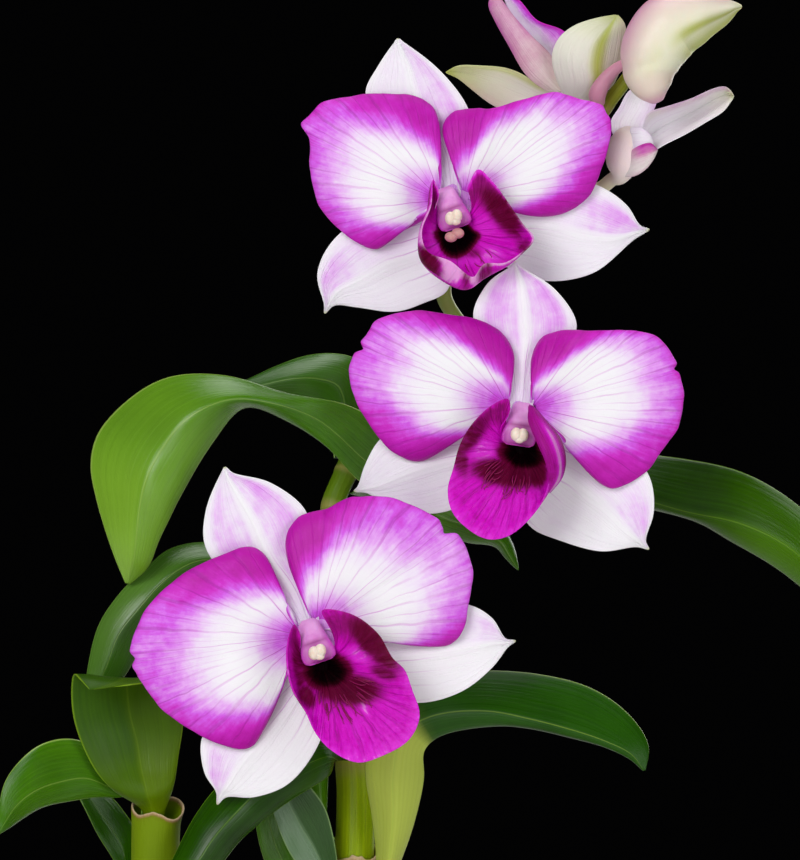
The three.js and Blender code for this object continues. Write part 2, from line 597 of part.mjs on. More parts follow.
const blooms = {
  top_bloom: {
    place: [42, 6, 296.6],
    sepals: [
      { left: [[-2, 3, 2.5], [-8, 15, 4], [-16, 21, 5], [-20.5, 28, 5], [-17.5, 34.5, 5],
          [-14.2, 39.4, 5.5], [-13, 40.8, 6]],
        right: [[1, 3, 2.5], [3, 13.5, 4], [4.5, 19.5, 5], [2.5, 26, 5], [-4, 34, 5],
          [-11.5, 39.8, 5.5], [-13, 40.8, 6]] },
      { left: [[0, -5, 2.5], [-1.5, -17, 3], [-7, -20, 3.5], [-13.5, -22, 4], [-22, -21, 4.5],
          [-27.5, -20.5, 5], [-29.8, -22.4, 6]],
        right: [[-1.5, 1, 2.5], [-12.5, 0.5, 4], [-23.5, -2, 4.5], [-29, -7, 4.5], [-31.5, -13.5, 4.5],
          [-30, -20, 5], [-29.8, -22.4, 6]] },
      { left: [[1.5, 1.5, 2.5], [15, 6, 4.5], [25, 8.5, 5], [33, 7, 5], [39.5, 2.5, 4.5], [42.5, -2, 5],
          [44.8, -3, 6]],
        right: [[0, -5, 2.5], [8, -10, 3], [15, -13, 4], [21.5, -15, 4], [32, -13, 4.5], [41, -5.5, 5],
          [44.8, -3, 6]] },
    ],
    petals: [
      { claw: [-3, 3.5],
        edge: [[-4, 12, 1], [-3.4, 19.5, 2], [-5, 25, 3], [-9, 27.4, 3], [-16, 28, 2], [-24, 27.4, 2],
          [-31, 25.4, 1], [-34.4, 20.5, 1], [-33.2, 16, 0], [-33, 9, 0], [-30.6, 1.5, 1], [-25, -4.4, 2],
          [-17.8, -7.8, 3], [-15.2, -5, 3], [-11, -3, 2], [-6, -0.5, 1]] },
      { claw: [2, 4],
        edge: [[-0.5, 12.5, 2], [-2.8, 20.5, 3], [0, 24, 3], [4.5, 24.5, 1], [9, 24.5, -1], [16.5, 26.8, 0],
          [23.5, 28.2, 1], [29.5, 26.4, 1], [34.5, 25, 1], [36, 20, 1], [34, 12, 1], [31.5, 5.5, 2],
          [27, 1.4, 3],
          [21, -0.2, 3], [15, 0.5, 2], [9, 3, 1]] },
    ],
    lip: {
      throat: [0, -3.8, -0.4],
      belly: [[-5.4, -3, -2.5], [-6, 0, -3], [-6.8, 2, -4], [-8.5, -1.5, -5], [-10, -6.5, -7],
        [-11, -15.5, -9],
        [-5.5, -22, -10], [1, -24.5, -11], [7, -20.5, -12], [12.5, -15, -11], [15, -10.5, -9], [15, -6, -7],
        [12, -2.5, -6], [9.5, 0, -5], [7.5, 2.5, -4.5], [6.2, 1.5, -4], [5.6, -1.5, -3]],
      edge: [[-5.4, 1.5, -5], [-5.6, 4, -6], [-6, 7, -8], [-6.8, 3.5, -9], [-5.5, -3, -11], [-5, -8, -14],
        [-0.5, -11.5, -16], [4, -16, -17], [6, -12, -17], [11, -10.5, -16], [14.5, -9, -15],
        [17.5, -6, -12],
        [14.5, -1.5, -9], [12, 3.5, -8], [8.5, 7.5, -7], [5.5, 10, -7], [3.8, 5.5, -5.5]],
    },
    column: { lean: -0.33, shift: [-0.5, -0.2] },
    pedicel: [[0, 5, -1, 3], [-1.5, 10.5, -8, 2.3], [-2.5, 14, -17.5, 1.9], [0.5, 19, -23, 1.7],
      [3.5, 22.4, -26, 1.6]],
  },
  middle_bloom: {
    place: [56, -8, 247.1],
    sepals: [
      { left: [[-1, 3, 2.5], [-4, 16, 4], [-8.5, 22, 5], [-10, 27, 5], [-6.5, 34, 5], [-1.5, 37.6, 5.5],
          [-0.5, 38.8, 6]],
        right: [[2.5, 3, 2.5], [7, 16, 4], [12.5, 20.5, 5], [13.5, 25, 5], [8.5, 32.5, 5],
          [0.8, 37.6, 5.5], [-0.5, 38.8, 6]] },
      { left: [[-1, -4, 2.5], [-6.5, -12.5, 3], [-14.5, -17.5, 3], [-21, -18.5, 3.5], [-28.5, -17, 4.5],
          [-34, -13.8, 5], [-37, -13.4, 6]],
        right: [[-2.5, 0.5, 2.5], [-14.5, 2, 4], [-25, 2, 4.5], [-31, -1.5, 4.5], [-34.5, -7.5, 4.5],
          [-36, -12, 5], [-37, -13.4, 6]] },
      { left: [[2.5, 1, 2.5], [14, 0, 4], [24.5, -3.5, 4.5], [30, -10, 4.5], [31, -18, 4.5],
          [29.2, -24.4, 5], [30, -26.6, 6]],
        right: [[0, -5, 4], [-0.5, -14.5, 6.5], [3, -21.5, 6], [9.5, -24.5, 4.5], [19, -27, 4],
          [27, -26, 5], [30, -26.6, 6]] },
    ],
    petals: [
      { claw: [-2, 6],
        edge: [[-1.5, 12, 2], [-0.8, 18, 3], [-4, 23, 3], [-9, 25.5, 2], [-17.5, 27, 2], [-24.5, 27.5, 2],
          [-32.5, 24.8, 1], [-34.6, 20.8, 1], [-37.2, 17.5, 0], [-38, 11.5, 0], [-35.2, 4.5, 1],
          [-29.5, -3.4, 2],
          [-22.5, -6.8, 3], [-17.5, -4, 3], [-12, 0, 2], [-6, 3.5, 1]] },
      { claw: [3, 5.5],
        edge: [[3.5, 11.5, 2], [3.3, 17, 3], [5.5, 21.4, 3], [9.5, 23, 2], [15, 23, -1], [21.5, 23, 0],
          [26.5, 23, 0],
          [32.5, 21, 0], [35.8, 16, 0], [36.8, 13, 0], [37.6, 7, 1], [36.5, 1.5, 1], [33, -4, 2],
          [28.5, -9.6, 3],
          [21.8, -12.8, 3], [17.5, -10.5, 3], [14.5, -5, 2], [9, 0, 1]] },
    ],
    lip: {
      throat: [1, -3.8, -0.4],
      belly: [[-5.2, -2, -2.5], [-5, 0.5, -3], [-4.8, 1.5, -3.5], [-6.5, 0.5, -3.5], [-7.5, -1.5, -4],
        [-8, -3.5, -5],
        [-8, -6, -6], [-9, -8.5, -8], [-8, -12.5, -10], [-5.5, -15, -11], [-2.5, -16.5, -11],
        [1, -15.5, -11],
        [5, -14, -10], [10, -12, -8], [13.5, -7, -7], [12, -1, -6], [8.5, 2.5, -5], [6.2, 2, -4.5],
        [5.8, -1.5, -3]],
      edge: [[-4.4, 2.5, -5], [-3.6, 5, -6], [-2.6, 7.5, -7], [-6, 6, -7], [-10.5, 2, -8],
        [-13.5, -2.5, -9],
        [-14.5, -7, -10], [-16, -12, -12], [-15, -17.5, -13], [-11, -23, -14], [-6.5, -24.5, -15],
        [-1.5, -23.5, -14],
        [3.5, -18, -13], [6.5, -12.5, -13], [7.5, -7, -12], [7, -2.5, -11], [5.6, 2, -10], [3.8, 6, -8],
        [4, 4, -6]],
    },
    column: { lean: 0.15, shift: [0.4, 0] },
    pedicel: [[0, 5, -1, 3], [-3, 13, 2.5, 2.2], [-10, 24, 8, 1.8], [-17, 32, 12.5, 1.6],
      [-20.4, 37.2, 14.2, 1.6]],
  },
  lower_bloom: {
    place: [11.7, -22, 199],
    sepals: [
      { left: [[-3, 3, 2.5], [-13, 11.5, 4], [-22, 17, 5], [-26, 23, 5], [-25.6, 31, 5],
          [-22.6, 38.4, 5.5], [-21.4, 40.4, 6]],
        right: [[-0.5, 3, 2.5], [0, 15, 4], [-1.5, 23.5, 5], [-3.5, 31, 5], [-11.5, 37, 5],
          [-19.5, 39, 5.5], [-21.4, 40.4, 6]] },
      { left: [[0.5, -5.5, 2.5], [1.5, -14.5, 3], [-0.5, -22, 3.5], [-7, -30.5, 4], [-15, -33.6, 4.5],
          [-21, -33.6, 5], [-23.2, -35.4, 6]],
        right: [[-4, -1.5, 2.5], [-14, -9.5, 4], [-22, -15.5, 4.5], [-26.5, -20, 4.5], [-26, -28, 4.5],
          [-23.4, -32.4, 5], [-23.2, -35.4, 6]] },
      { left: [[2.5, 1, 2.5], [16, 5, 4], [27, 9.5, 4.5], [33.5, 9.5, 4.5], [38.5, 6.5, 4.5],
          [41.4, 2, 5], [43.8, 1.4, 6]],
        right: [[1.5, -5, 2.5], [11.5, -10, 3], [22, -12.5, 4], [31.5, -10, 4.5], [38.5, -4.5, 4.5],
          [42, 0, 5], [43.8, 1.4, 6]] },
    ],
    petals: [
      { claw: [-4, 2.5],
        edge: [[-7.5, 8, 2], [-10.5, 14, 3], [-12.2, 20.5, 3], [-15.5, 22.6, 2], [-24, 20, 1],
          [-33.5, 14.5, 0],
          [-39.6, 7.5, 0], [-42.4, 0, 0], [-41.4, -4, 0], [-39.5, -8.5, 0], [-34.5, -14.5, 1],
          [-26.5, -19.8, 2],
          [-16.2, -22.8, 3], [-12.8, -18.5, 3], [-10, -12.5, 2], [-7.5, -4.5, 1]] },
      { claw: [-1, 4],
        edge: [[-4.5, 12.5, 2], [-7.4, 20, 3], [-7.6, 25, 3], [-5, 29.2, 3], [1, 31, 2], [6, 33.4, 1],
          [11, 34, 0],
          [18, 33, 0], [26, 29, 0], [28, 26.6, 0], [31.4, 24.8, 1], [34, 18, 1], [33.4, 10.5, 1],
          [31.5, 3, 2],
          [29, 0.6, 3], [22.5, 0.4, 3], [15.5, 2.5, 2], [7, 5, 1]] },
    ],
    lip: {
      throat: [0.5, -3.8, -0.4],
      belly: [[-5.6, -4, -2.5], [-6, -2, -3.5], [-6.6, -1, -4], [-7.4, -2.5, -4.5], [-7.6, -5.5, -5],
        [-6, -10.5, -6],
        [-3, -13.5, -8], [-0.5, -15.5, -9], [3, -17.5, -10], [7.5, -17.5, -11], [11, -16, -11],
        [13, -13.5, -11],
        [13.5, -11.5, -10], [12.5, -9, -9], [11.5, -6.5, -8], [9.5, -3.5, -7], [8.5, -1, -6],
        [7.5, 0.5, -5],
        [6.4, 0, -4], [6, -1.5, -3]],
      edge: [[-6, 0.5, -5], [-6, 2.5, -6], [-6.6, 5, -7], [-7.4, 2, -8], [-7.5, -3, -9], [-5.5, -9, -10],
        [-2.5, -14.5, -12], [-0.5, -19, -13], [2.5, -23, -14], [9, -26, -15], [14.5, -24, -15],
        [20, -20.5, -15],
        [22.5, -14.5, -14], [20.5, -8.5, -13], [18.5, -3.5, -11], [16.5, -1.5, -10], [12.5, 4, -9],
        [7.5, 7.5, -8],
        [2, 8.5, -7], [3.6, 5, -5.5]],
    },
    column: { lean: -0.33, shift: [-0.7, 0] },
    pedicel: [[0, 5, -1, 3], [1, 14, 5, 2.2], [1.8, 26, 14, 1.8], [2.3, 33.5, 19.3, 1.6],
      [2.5, 39.4, 21, 1.6]],
  },
};

// Upright stations of the column, from its winged foot to its hood, before it leans sideways
const columnStations = [
  [0, -4.6, -2.6, 3.5, 1], [0, -4.4, -0.6, 3.2, 1.6], [0, -3.6, 1.6, 2.7, 1.8], [0, -2.7, 4, 2.2, 1.6],
  [0, -1.7, 5.6, 1.5, 1], [0, -1.3, 6.2, 0.8, 0.5],
];

function openBloom(name, bloom) {
  const head = new THREE.Group();
  head.position.set(...bloom.place);
  plant.add(head);
  const sepals = bloom.sepals.map(({ left, right }) => sepal({ left: facingFront(left),
    right: facingFront(right) }));
  const petals = bloom.petals.map((petal) => fan(petal));
  const boss = ball([0, 3.6, 1.5], [4.6, 3.2, 6.5], 10, 6);
  const chin = ball([0, 6, -5], [2.8, 3.6, 4]);
  const pedicel = stalk(bloom.pedicel, 8, 8);
  add(`${name}_tepals`, join(boss, chin, pedicel, ...sepals, ...petals), 0xe9d3ee, 0.6, head);
  add(`${name}_lip`, lipSheet(bloom.lip), 0xa3058f, 0.5, head);
  const { lean, shift } = bloom.column;
  const seated = (geometry) => geometry.rotateY(lean).translate(shift[0], 0, shift[1]);
  add(`${name}_column`, seated(loft(columnStations)), 0xd58fcd, 0.5, head);
  const cap = join(...[-0.7, 0.7].map((x) => ball([x, -7.6, -0.8], [1.3, 1.3, 1.6], 6, 5)));
  add(`${name}_anther_cap`, seated(cap), 0xf1dfbd, 0.5, head);
}

for (const [name, bloom] of Object.entries(blooms)) {
  openBloom(name, bloom);
}

// ---- half-open blooms and bud ----

const openingLeft = {
  pinkSepal: {
    left: [[65.5, 28, 325], [59, 26, 329.5], [54.5, 26, 337], [51.5, 27, 342.5], [50, 28, 346.5],
      [51.5, 30, 349.5]],
    rib: [[67, 26.5, 326], [61.5, 24.5, 331.5], [57, 24, 338], [53.7, 25, 343], [51.7, 27, 347],
      [51.5, 30, 349.5]],
    right: [[68, 28, 326.5], [65, 26, 334], [60, 25, 339], [56, 26, 343.5], [53.5, 27, 347],
      [51.5, 30, 349.5]],
  },
  petal: {
    left: [[67, 31, 326.5], [63, 30, 333.5], [59.5, 29, 338.5], [56, 29, 343.5], [54, 30, 347],
      [53.5, 31, 350.5]],
    rib: [[68.5, 32.5, 326.5], [66, 33, 334], [63, 33, 339.5], [58.5, 32.5, 343.5], [56, 32, 347],
      [53.5, 31, 350.5]],
    right: [[70, 31, 326.5], [70, 32, 335.5], [68, 33, 340.5], [61.5, 32, 343], [57.5, 31, 347.5],
      [53.5, 31, 350.5]],
  },
  greenSepal: {
    left: [[67.5, 33, 325.5], [62, 32, 328], [58, 31, 330.5], [54, 31, 332], [47.5, 31, 332.5],
      [43, 32, 332.5],
      [40, 33, 331]],
    rib: [[67.5, 34, 324], [61.5, 34, 324.5], [56.5, 33.5, 326], [52, 33, 328], [46.8, 33, 330],
      [43, 33, 331],
      [40, 33, 331]],
    right: [[67.5, 33, 322.5], [61, 32, 321], [55, 31, 321.5], [50.5, 31, 323.5], [46, 31, 327],
      [43, 32, 329.5],
      [40, 33, 331]],
  },
  wideSepal: {
    left: [[68, 28, 324.5], [65.5, 23, 329], [64.5, 21, 334], [66, 21, 338], [69.5, 22, 341], [75, 24, 343],
      [80, 27, 344]],
    rib: [[71, 26, 323.5], [73.8, 20, 327.5], [73.2, 17.5, 332], [74, 17.5, 336], [75.5, 19, 338.5],
      [77.5, 22, 341],
      [80, 27, 344]],
    right: [[72.5, 28, 323.5], [78.5, 24.6, 327], [81, 23.4, 332.5], [82, 23.8, 337.5], [82, 24.4, 340],
      [81.5, 25, 342], [80, 27, 344]],
  },
};

const openingRight = {
  dorsal: {
    left: [[79, 20, 314.5], [78, 19.6, 318.5], [80, 18.8, 322], [82, 17.6, 325.5], [86, 17.4, 328]],
    rib: [[82, 21, 314.5], [82.5, 21, 318.5], [84.3, 20, 322], [85.4, 18.8, 325.5], [86, 17.4, 328]],
    right: [[85, 20, 315], [86.5, 19.6, 318.5], [88.5, 19, 322.5], [88.5, 18.4, 325], [86, 17.4, 328]],
  },
  trough: {
    left: [[85, 18, 316.5], [86.5, 17, 320.5], [90.5, 18, 322], [96.5, 20, 324], [102, 22, 326.5],
      [105, 24, 327],
      [107, 26, 325]],
    rib: [[85.5, 24, 313.5], [89, 26, 317], [93.5, 27, 319.5], [98.5, 28, 322], [103, 28, 324.5],
      [105.5, 28, 325.5],
      [107, 26, 325]],
    right: [[86, 18, 310.5], [90, 16, 313], [95, 16, 315.5], [100, 18, 318.5], [104, 20, 321],
      [106, 23, 323.5],
      [107, 26, 325]],
  },
  fold: {
    left: [[82, 17, 311.5], [84.5, 14.5, 313], [87, 13.5, 313.5], [88.7, 14, 312]],
    rib: [[81.5, 18, 308.5], [84.5, 15, 309.5], [87, 13.8, 310.5], [88.7, 14, 312]],
    right: [[80, 19, 306], [83.5, 17, 306], [86.5, 15, 308], [88.7, 14, 312]],
  },
};

const sheets = (group, rows) => Object.values(group).map((edges) => blade(edges, rows, petalThickness));

add('opening_bloom_left', join(
  ball([69.5, 30.5, 324], [4, 4, 3.6]),
  stalk([[70, 29.5, 322, 2.2], [70.2, 29.6, 318, 1.8], [69.8, 28.6, 315, 1.5]], 8, 4),
  ...sheets(openingLeft, 6),
), 0xe3cfd6, 0.6);

add('opening_bloom_right', join(
  stalk([[83.5, 21, 317, 1.8], [82.5, 20.5, 315, 3.6], [81.3, 20, 312, 4.4], [80.8, 20, 309, 3.9],
    [80.2, 21, 306.5, 2.4],
    [78.5, 22.6, 305.5, 1.6], [75.5, 25, 303.4, 1.6], [69.6, 27.5, 303.3, 1.5]], 10, 14),
  ...sheets(openingRight, 6),
), 0xe8d8d2, 0.6);

add('bud', join(
  stalk([[88.6, 9.6, 322.6, 1.2], [87.4, 9, 325.5, 4.4], [86.6, 9, 329.5, 6.4], [87.5, 9, 334.5, 7.6],
    [91, 9, 339.5, 8],
    [97, 9, 342.3, 6], [102.5, 10, 343.7, 3.4], [106, 11, 344.5, 1.4], [107.8, 11.5, 344.6, 0.4]], 10, 16),
  stalk([[84, 13, 333, 1.8], [79.4, 16.4, 331, 1.8], [76.2, 17.6, 328, 1.9], [74.6, 18.8, 325, 2.1],
    [75.4, 21.1, 322.9, 1.6]], 8, 8),
), 0xf0e9cf, 0.5);

export default plant;
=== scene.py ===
import math
import random

import bpy
from mathutils import Euler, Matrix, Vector, noise


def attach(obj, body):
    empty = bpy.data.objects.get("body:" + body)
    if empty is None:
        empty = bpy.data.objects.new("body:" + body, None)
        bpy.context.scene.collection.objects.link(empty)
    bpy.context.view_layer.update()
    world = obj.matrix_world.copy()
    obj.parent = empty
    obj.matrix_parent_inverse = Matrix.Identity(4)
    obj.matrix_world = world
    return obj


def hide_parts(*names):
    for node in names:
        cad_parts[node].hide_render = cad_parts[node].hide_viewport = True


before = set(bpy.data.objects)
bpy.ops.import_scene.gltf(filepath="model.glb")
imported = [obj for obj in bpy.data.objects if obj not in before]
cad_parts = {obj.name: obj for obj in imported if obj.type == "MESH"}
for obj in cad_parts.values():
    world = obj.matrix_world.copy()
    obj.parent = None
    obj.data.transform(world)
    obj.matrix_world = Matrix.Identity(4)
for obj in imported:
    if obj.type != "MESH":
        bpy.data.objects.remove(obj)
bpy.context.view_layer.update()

mm = 0.001
seatGap = 0.35  # between a cane and what clasps it
leafThickness = 0.8
tepalThickness = 0.7
lastRow = 0.992  # a blade ends just short of its tip


# small tools

def clearSelection():
    if bpy.context.mode != "OBJECT":
        bpy.ops.object.mode_set(mode="OBJECT")
    bpy.ops.object.select_all(action="DESELECT")


def applyModifiers(piece):
    clearSelection()
    bpy.context.view_layer.objects.active = piece
    piece.select_set(True)
    for modifier in list(piece.modifiers):
        bpy.ops.object.modifier_apply(modifier=modifier.name)


def smoothAngle(piece, degrees):
    clearSelection()
    bpy.context.view_layer.objects.active = piece
    piece.select_set(True)
    bpy.ops.object.shade_smooth_by_angle(angle=math.radians(degrees), keep_sharp_edges=True)


def joined(name, pieces):
    clearSelection()
    for piece in pieces:
        piece.select_set(True)
    bpy.context.view_layer.objects.active = pieces[0]
    if len(pieces) > 1:
        bpy.ops.object.join()
    pieces[0].name = name
    pieces[0].data.name = name
    return pieces[0]


def standsFor(piece, node, slot):
    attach(piece, "root")
    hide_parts(node)


def step(low, high, value):
    # smooth rise from 0 to 1 between low and high
    t = min(max((value - low) / (high - low), 0.0), 1.0)
    return t * t * (3 - 2 * t)


def fromKeys(values, t):
    # value at t of a short list spread evenly over 0 to 1
    place = min(max(t, 0.0), 1.0) * (len(values) - 1)
    k = min(int(place), len(values) - 2)
    w = place - k
    w = w * w * (3 - 2 * w)
    return values[k] * (1 - w) + values[k + 1] * w


def pointAlong(points, t):
    # centripetal curve through the points
    last = len(points) - 1
    place = min(max(t, 0.0), 1.0) * last
    k = min(int(place), last - 1)
    w = place - k
    p1, p2 = points[k], points[k + 1]
    p0 = points[k - 1] if k > 0 else p1 * 2 - p2
    p3 = points[k + 2] if k + 2 <= last else p2 * 2 - p1
    d0, d1, d2 = [max((b - a).length, 1e-6) ** 0.5 for a, b in ((p0, p1), (p1, p2), (p2, p3))]
    m1 = ((p1 - p0) / d0 - (p2 - p0) / (d0 + d1) + (p2 - p1) / d1) * d1
    m2 = ((p2 - p1) / d1 - (p3 - p1) / (d1 + d2) + (p3 - p2) / d2) * d1
    return (p1 + m1 * w + (p2 * 3 - p1 * 3 - m1 * 2 - m2) * w ** 2
            + (p1 * 2 - p2 * 2 + m1 + m2) * w ** 3)


def vectors(points):
    return [Vector(p) for p in points]


def frontFacing(points):
    # [right, up, depth] to x, y, z
    return [Vector((p[0], p[2], p[1])) for p in points]


def colourWeights(mesh, marks):
    # each point's weights for its finish: tint, deep and vein, 0 where nothing is said
    for number, name in enumerate(("tint", "deep", "vein")):
        attribute = mesh.attributes.new(name, "FLOAT", "POINT")
        if marks:
            attribute.data.foreach_set("value", [float(mark[number]) for mark in marks])


def spotAmount(spots, x, z):
    # how strongly soft oval spots colour a place; a spot is x, z, half width, half height, turn, strength
    amount = 0.0
    for spotX, spotZ, width, height, turn, strength in spots:
        angle = math.radians(turn)
        along = ((x - spotX) * math.cos(angle) + (z - spotZ) * math.sin(angle)) / width
        across = ((z - spotZ) * math.cos(angle) - (x - spotX) * math.sin(angle)) / height
        amount = max(amount, strength * step(1.45, 0.45, math.hypot(along, across)))
    return amount


def newGrid(name, across, along):
    # a flat grid, and how far across and along it each of its points lies, from 0 to 1
    clearSelection()
    bpy.ops.mesh.primitive_grid_add(x_subdivisions=across, y_subdivisions=along, size=1)
    piece = bpy.context.object
    piece.name = name
    return piece, [(vert.co.x + 0.5, vert.co.y + 0.5) for vert in piece.data.vertices]


def weld(close=False, outward=True):
    # joins the active piece's meeting points; close fills its open ends, outward turns its faces out
    bpy.ops.object.mode_set(mode="EDIT")
    bpy.ops.mesh.select_all(action="SELECT")
    bpy.ops.mesh.remove_doubles(threshold=1e-6)
    if close:
        bpy.ops.mesh.select_all(action="SELECT")
        bpy.ops.mesh.fill_holes(sides=0)
    if outward:
        bpy.ops.mesh.select_all(action="SELECT")
        bpy.ops.mesh.normals_make_consistent(inside=False)
    bpy.ops.object.mode_set(mode="OBJECT")


def subdivide(piece, level=1):
    finer = piece.modifiers.new("finer", "SUBSURF")
    finer.levels = finer.render_levels = level


def coated(piece, material):
    piece.data.materials.append(material)
    bpy.ops.object.shade_smooth()
    return piece


# a sheet starts as a grid; shape(u, v) gives each point in mm
# and marks(u, v) its colour weights (tint, deep, vein)
def sheet(name, shape, across, along, thickness, material, marks, thinEdge=0.35, origin=(0, 0, 0)):
    piece, places = newGrid(name, across, along)
    start = Vector(origin)
    for vert, (u, v) in zip(piece.data.vertices, places):
        vert.co = (shape(u, v) + start) * mm
    colourWeights(piece.data, [marks(u, v) for u, v in places])
    body = piece.vertex_groups.new(name="body")
    for vert, (u, v) in zip(piece.data.vertices, places):
        body.add([vert.index], min(1.0, 8 * u, 8 * (1 - u), 8 * (1 - v), 0.4 + 8 * v), "REPLACE")
    wall = piece.modifiers.new("wall", "SOLIDIFY")
    wall.thickness = thickness * mm
    wall.offset = 0
    wall.vertex_group = "body"
    wall.thickness_vertex_group = thinEdge
    subdivide(piece)
    applyModifiers(piece)
    piece.vertex_groups.clear()
    return coated(piece, material)


# a tube starts as a grid whose sides meet; stations are x, y, z and radius in mm
def tube(name, stations, sides, steps, material, swell=None, fine=True, origin=(0, 0, 0), marks=None):
    piece, places = newGrid(name, sides, steps)
    centres = [Vector(s[:3]) + Vector(origin) for s in stations]
    radii = [Vector((s[3], 0, 0)) for s in stations]
    near = 0.004
    for vert, (u, v) in zip(piece.data.vertices, places):
        centre = pointAlong(centres, v)
        ahead = (pointAlong(centres, v + near) - pointAlong(centres, v - near)).normalized()
        side = Vector((0, 1, 0)).cross(ahead).normalized()
        up = ahead.cross(side).normalized()
        turn = 2 * math.pi * u
        radius = pointAlong(radii, v).x
        if swell:
            radius += swell(turn, v)
        vert.co = (centre + side * math.cos(turn) * radius + up * math.sin(turn) * radius) * mm
    colourWeights(piece.data, [marks(u, v) for u, v in places] if marks else [])
    weld(close=True)
    if fine:
        subdivide(piece)
    applyModifiers(piece)
    return coated(piece, material)


# a round or oval swelling, with one set of colour weights all over
def swelling(name, centre, radii, material, mark=None):
    clearSelection()
    bpy.ops.mesh.primitive_uv_sphere_add(segments=24, ring_count=16, radius=1)
    piece = bpy.context.object
    piece.name = name
    for vert in piece.data.vertices:
        point = Vector((vert.co.x * radii[0], vert.co.y * radii[1], vert.co.z * radii[2]))
        vert.co = (point + Vector(centre)) * mm
    colourWeights(piece.data, [mark] * len(piece.data.vertices) if mark else [])
    return coated(piece, material)


# node helpers for the finishes

def rgb(red, green, blue):
    # 0 to 255 screen values to the renderer's own
    def linear(value):
        value /= 255
        return value / 12.92 if value <= 0.04045 else ((value + 0.055) / 1.055) ** 2.4
    return (linear(red), linear(green), linear(blue), 1.0)


def newFinish(name, roughness, **settings):
    material = bpy.data.materials.new(name)
    material.use_nodes = True
    shader = material.node_tree.nodes["Principled BSDF"]
    shader.inputs["Roughness"].default_value = roughness
    for socket, value in settings.items():
        shader.inputs[socket.replace("_", " ")].default_value = value
    return material, material.node_tree, shader


def put(tree, kind, values=None, **settings):
    node = tree.nodes.new(kind)
    for key, value in settings.items():
        setattr(node, key, value)
    for socket, value in (values or {}).items():
        if isinstance(value, bpy.types.NodeSocket):
            tree.links.new(value, node.inputs[socket])
        else:
            node.inputs[socket].default_value = value
    return node


def calc(tree, operation, first, second=0.5, third=None):
    values = {0: first, 1: second}
    if third is not None:
        values[2] = third
    return put(tree, "ShaderNodeMath", values, operation=operation).outputs[0]


def times(tree, first, second):
    return calc(tree, "MULTIPLY", first, second)


def plus(tree, first, second):
    return calc(tree, "ADD", first, second)


def minus(tree, first, second):
    return calc(tree, "SUBTRACT", first, second)


def timesPlus(tree, first, second, third):
    return calc(tree, "MULTIPLY_ADD", first, second, third)


def between(tree, value, low, high, outLow=0.0, outHigh=1.0):
    values = {"Value": value, "From Min": low, "From Max": high, "To Min": outLow, "To Max": outHigh}
    return put(tree, "ShaderNodeMapRange", values, interpolation_type="SMOOTHSTEP").outputs[0]


def ramp(tree, value, stops):
    node = put(tree, "ShaderNodeValToRGB", {"Fac": value})
    bar = node.color_ramp
    while len(bar.elements) < len(stops):
        bar.elements.new(0.5)
    for element, (place, colour) in zip(bar.elements, stops):
        element.position = place
        element.color = colour
    return node.outputs["Color"]


def mixed(tree, amount, first, second, blend="MIX"):
    node = put(tree, "ShaderNodeMix", data_type="RGBA", blend_type=blend)
    for socket, value in ((0, amount), (6, first), (7, second)):
        if isinstance(value, bpy.types.NodeSocket):
            tree.links.new(value, node.inputs[socket])
        else:
            node.inputs[socket].default_value = value
    return node.outputs[2]


def grain(tree, vector, scale, detail=2.0, rough=0.5):
    values = {"Vector": vector, "Scale": scale, "Detail": detail, "Roughness": rough}
    return put(tree, "ShaderNodeTexNoise", values).outputs["Fac"]


def surfaceInputs(tree):
    coords = put(tree, "ShaderNodeTexCoord")
    split = put(tree, "ShaderNodeSeparateXYZ", {0: coords.outputs["UV"]})
    return coords.outputs["Object"], split.outputs["X"], split.outputs["Y"]


def weight(tree, name):
    return put(tree, "ShaderNodeAttribute", attribute_name=name).outputs["Fac"]


def veinLines(tree, across, wobble, count, width):
    # 1 on thin lines that run along the sheet, 0 between them
    place = timesPlus(tree, across, float(count), wobble)
    wave = calc(tree, "PINGPONG", place, 0.5)
    return between(tree, wave, 0.0, width, 1.0, 0.0)


def stretched(tree, across, along, scaleAcross, scaleAlong, third=0.0):
    values = {0: times(tree, across, scaleAcross), 1: times(tree, along, scaleAlong), 2: third}
    return put(tree, "ShaderNodeCombineXYZ", values).outputs[0]


def relief(tree, shader, height, distance, strength=1.0):
    values = {"Height": height, "Distance": distance, "Strength": strength}
    tree.links.new(put(tree, "ShaderNodeBump", values).outputs["Normal"], shader.inputs["Normal"])


# camera, floor and lights

studio = {
    "cameraPlace": (0.0295, -1.2, 0.2476),
    "viewHeight": 0.1952,  # what the frame takes in at the plant
    "floorRadius": 0.8,
    "floorColour": rgb(226, 224, 220),
    "backdrop": (0.0008, 0.0008, 0.0009, 1.0),
}
camera = bpy.data.cameras.new("camera")
camera.sensor_fit = "VERTICAL"
camera.sensor_height = 24.0
camera.lens = camera.sensor_height * -studio["cameraPlace"][1] / studio["viewHeight"]
camera.clip_start = 0.05
cameraObject = bpy.data.objects.new("camera", camera)
cameraObject.location = studio["cameraPlace"]
cameraObject.rotation_euler = (math.pi / 2, 0, 0)
bpy.context.scene.collection.objects.link(cameraObject)
bpy.context.scene.camera = cameraObject
bpy.context.scene.view_settings.view_transform = "Standard"

world = bpy.data.worlds.new("studio")
world.use_nodes = True
world.node_tree.nodes["Background"].inputs["Color"].default_value = studio["backdrop"]
bpy.context.scene.world = world


lit = (0.02, 0, 0.24)  # the middle of the flowers


def softLight(name, place, size, power):
    lamp = bpy.data.lights.new(name, "AREA")
    lamp.shape = "RECTANGLE"
    lamp.size, lamp.size_y = size
    lamp.energy = power
    holder = bpy.data.objects.new(name, lamp)
    holder.location = place
    holder.rotation_euler = (Vector(lit) - Vector(place)).to_track_quat("-Z", "Y").to_euler()
    bpy.context.scene.collection.objects.link(holder)


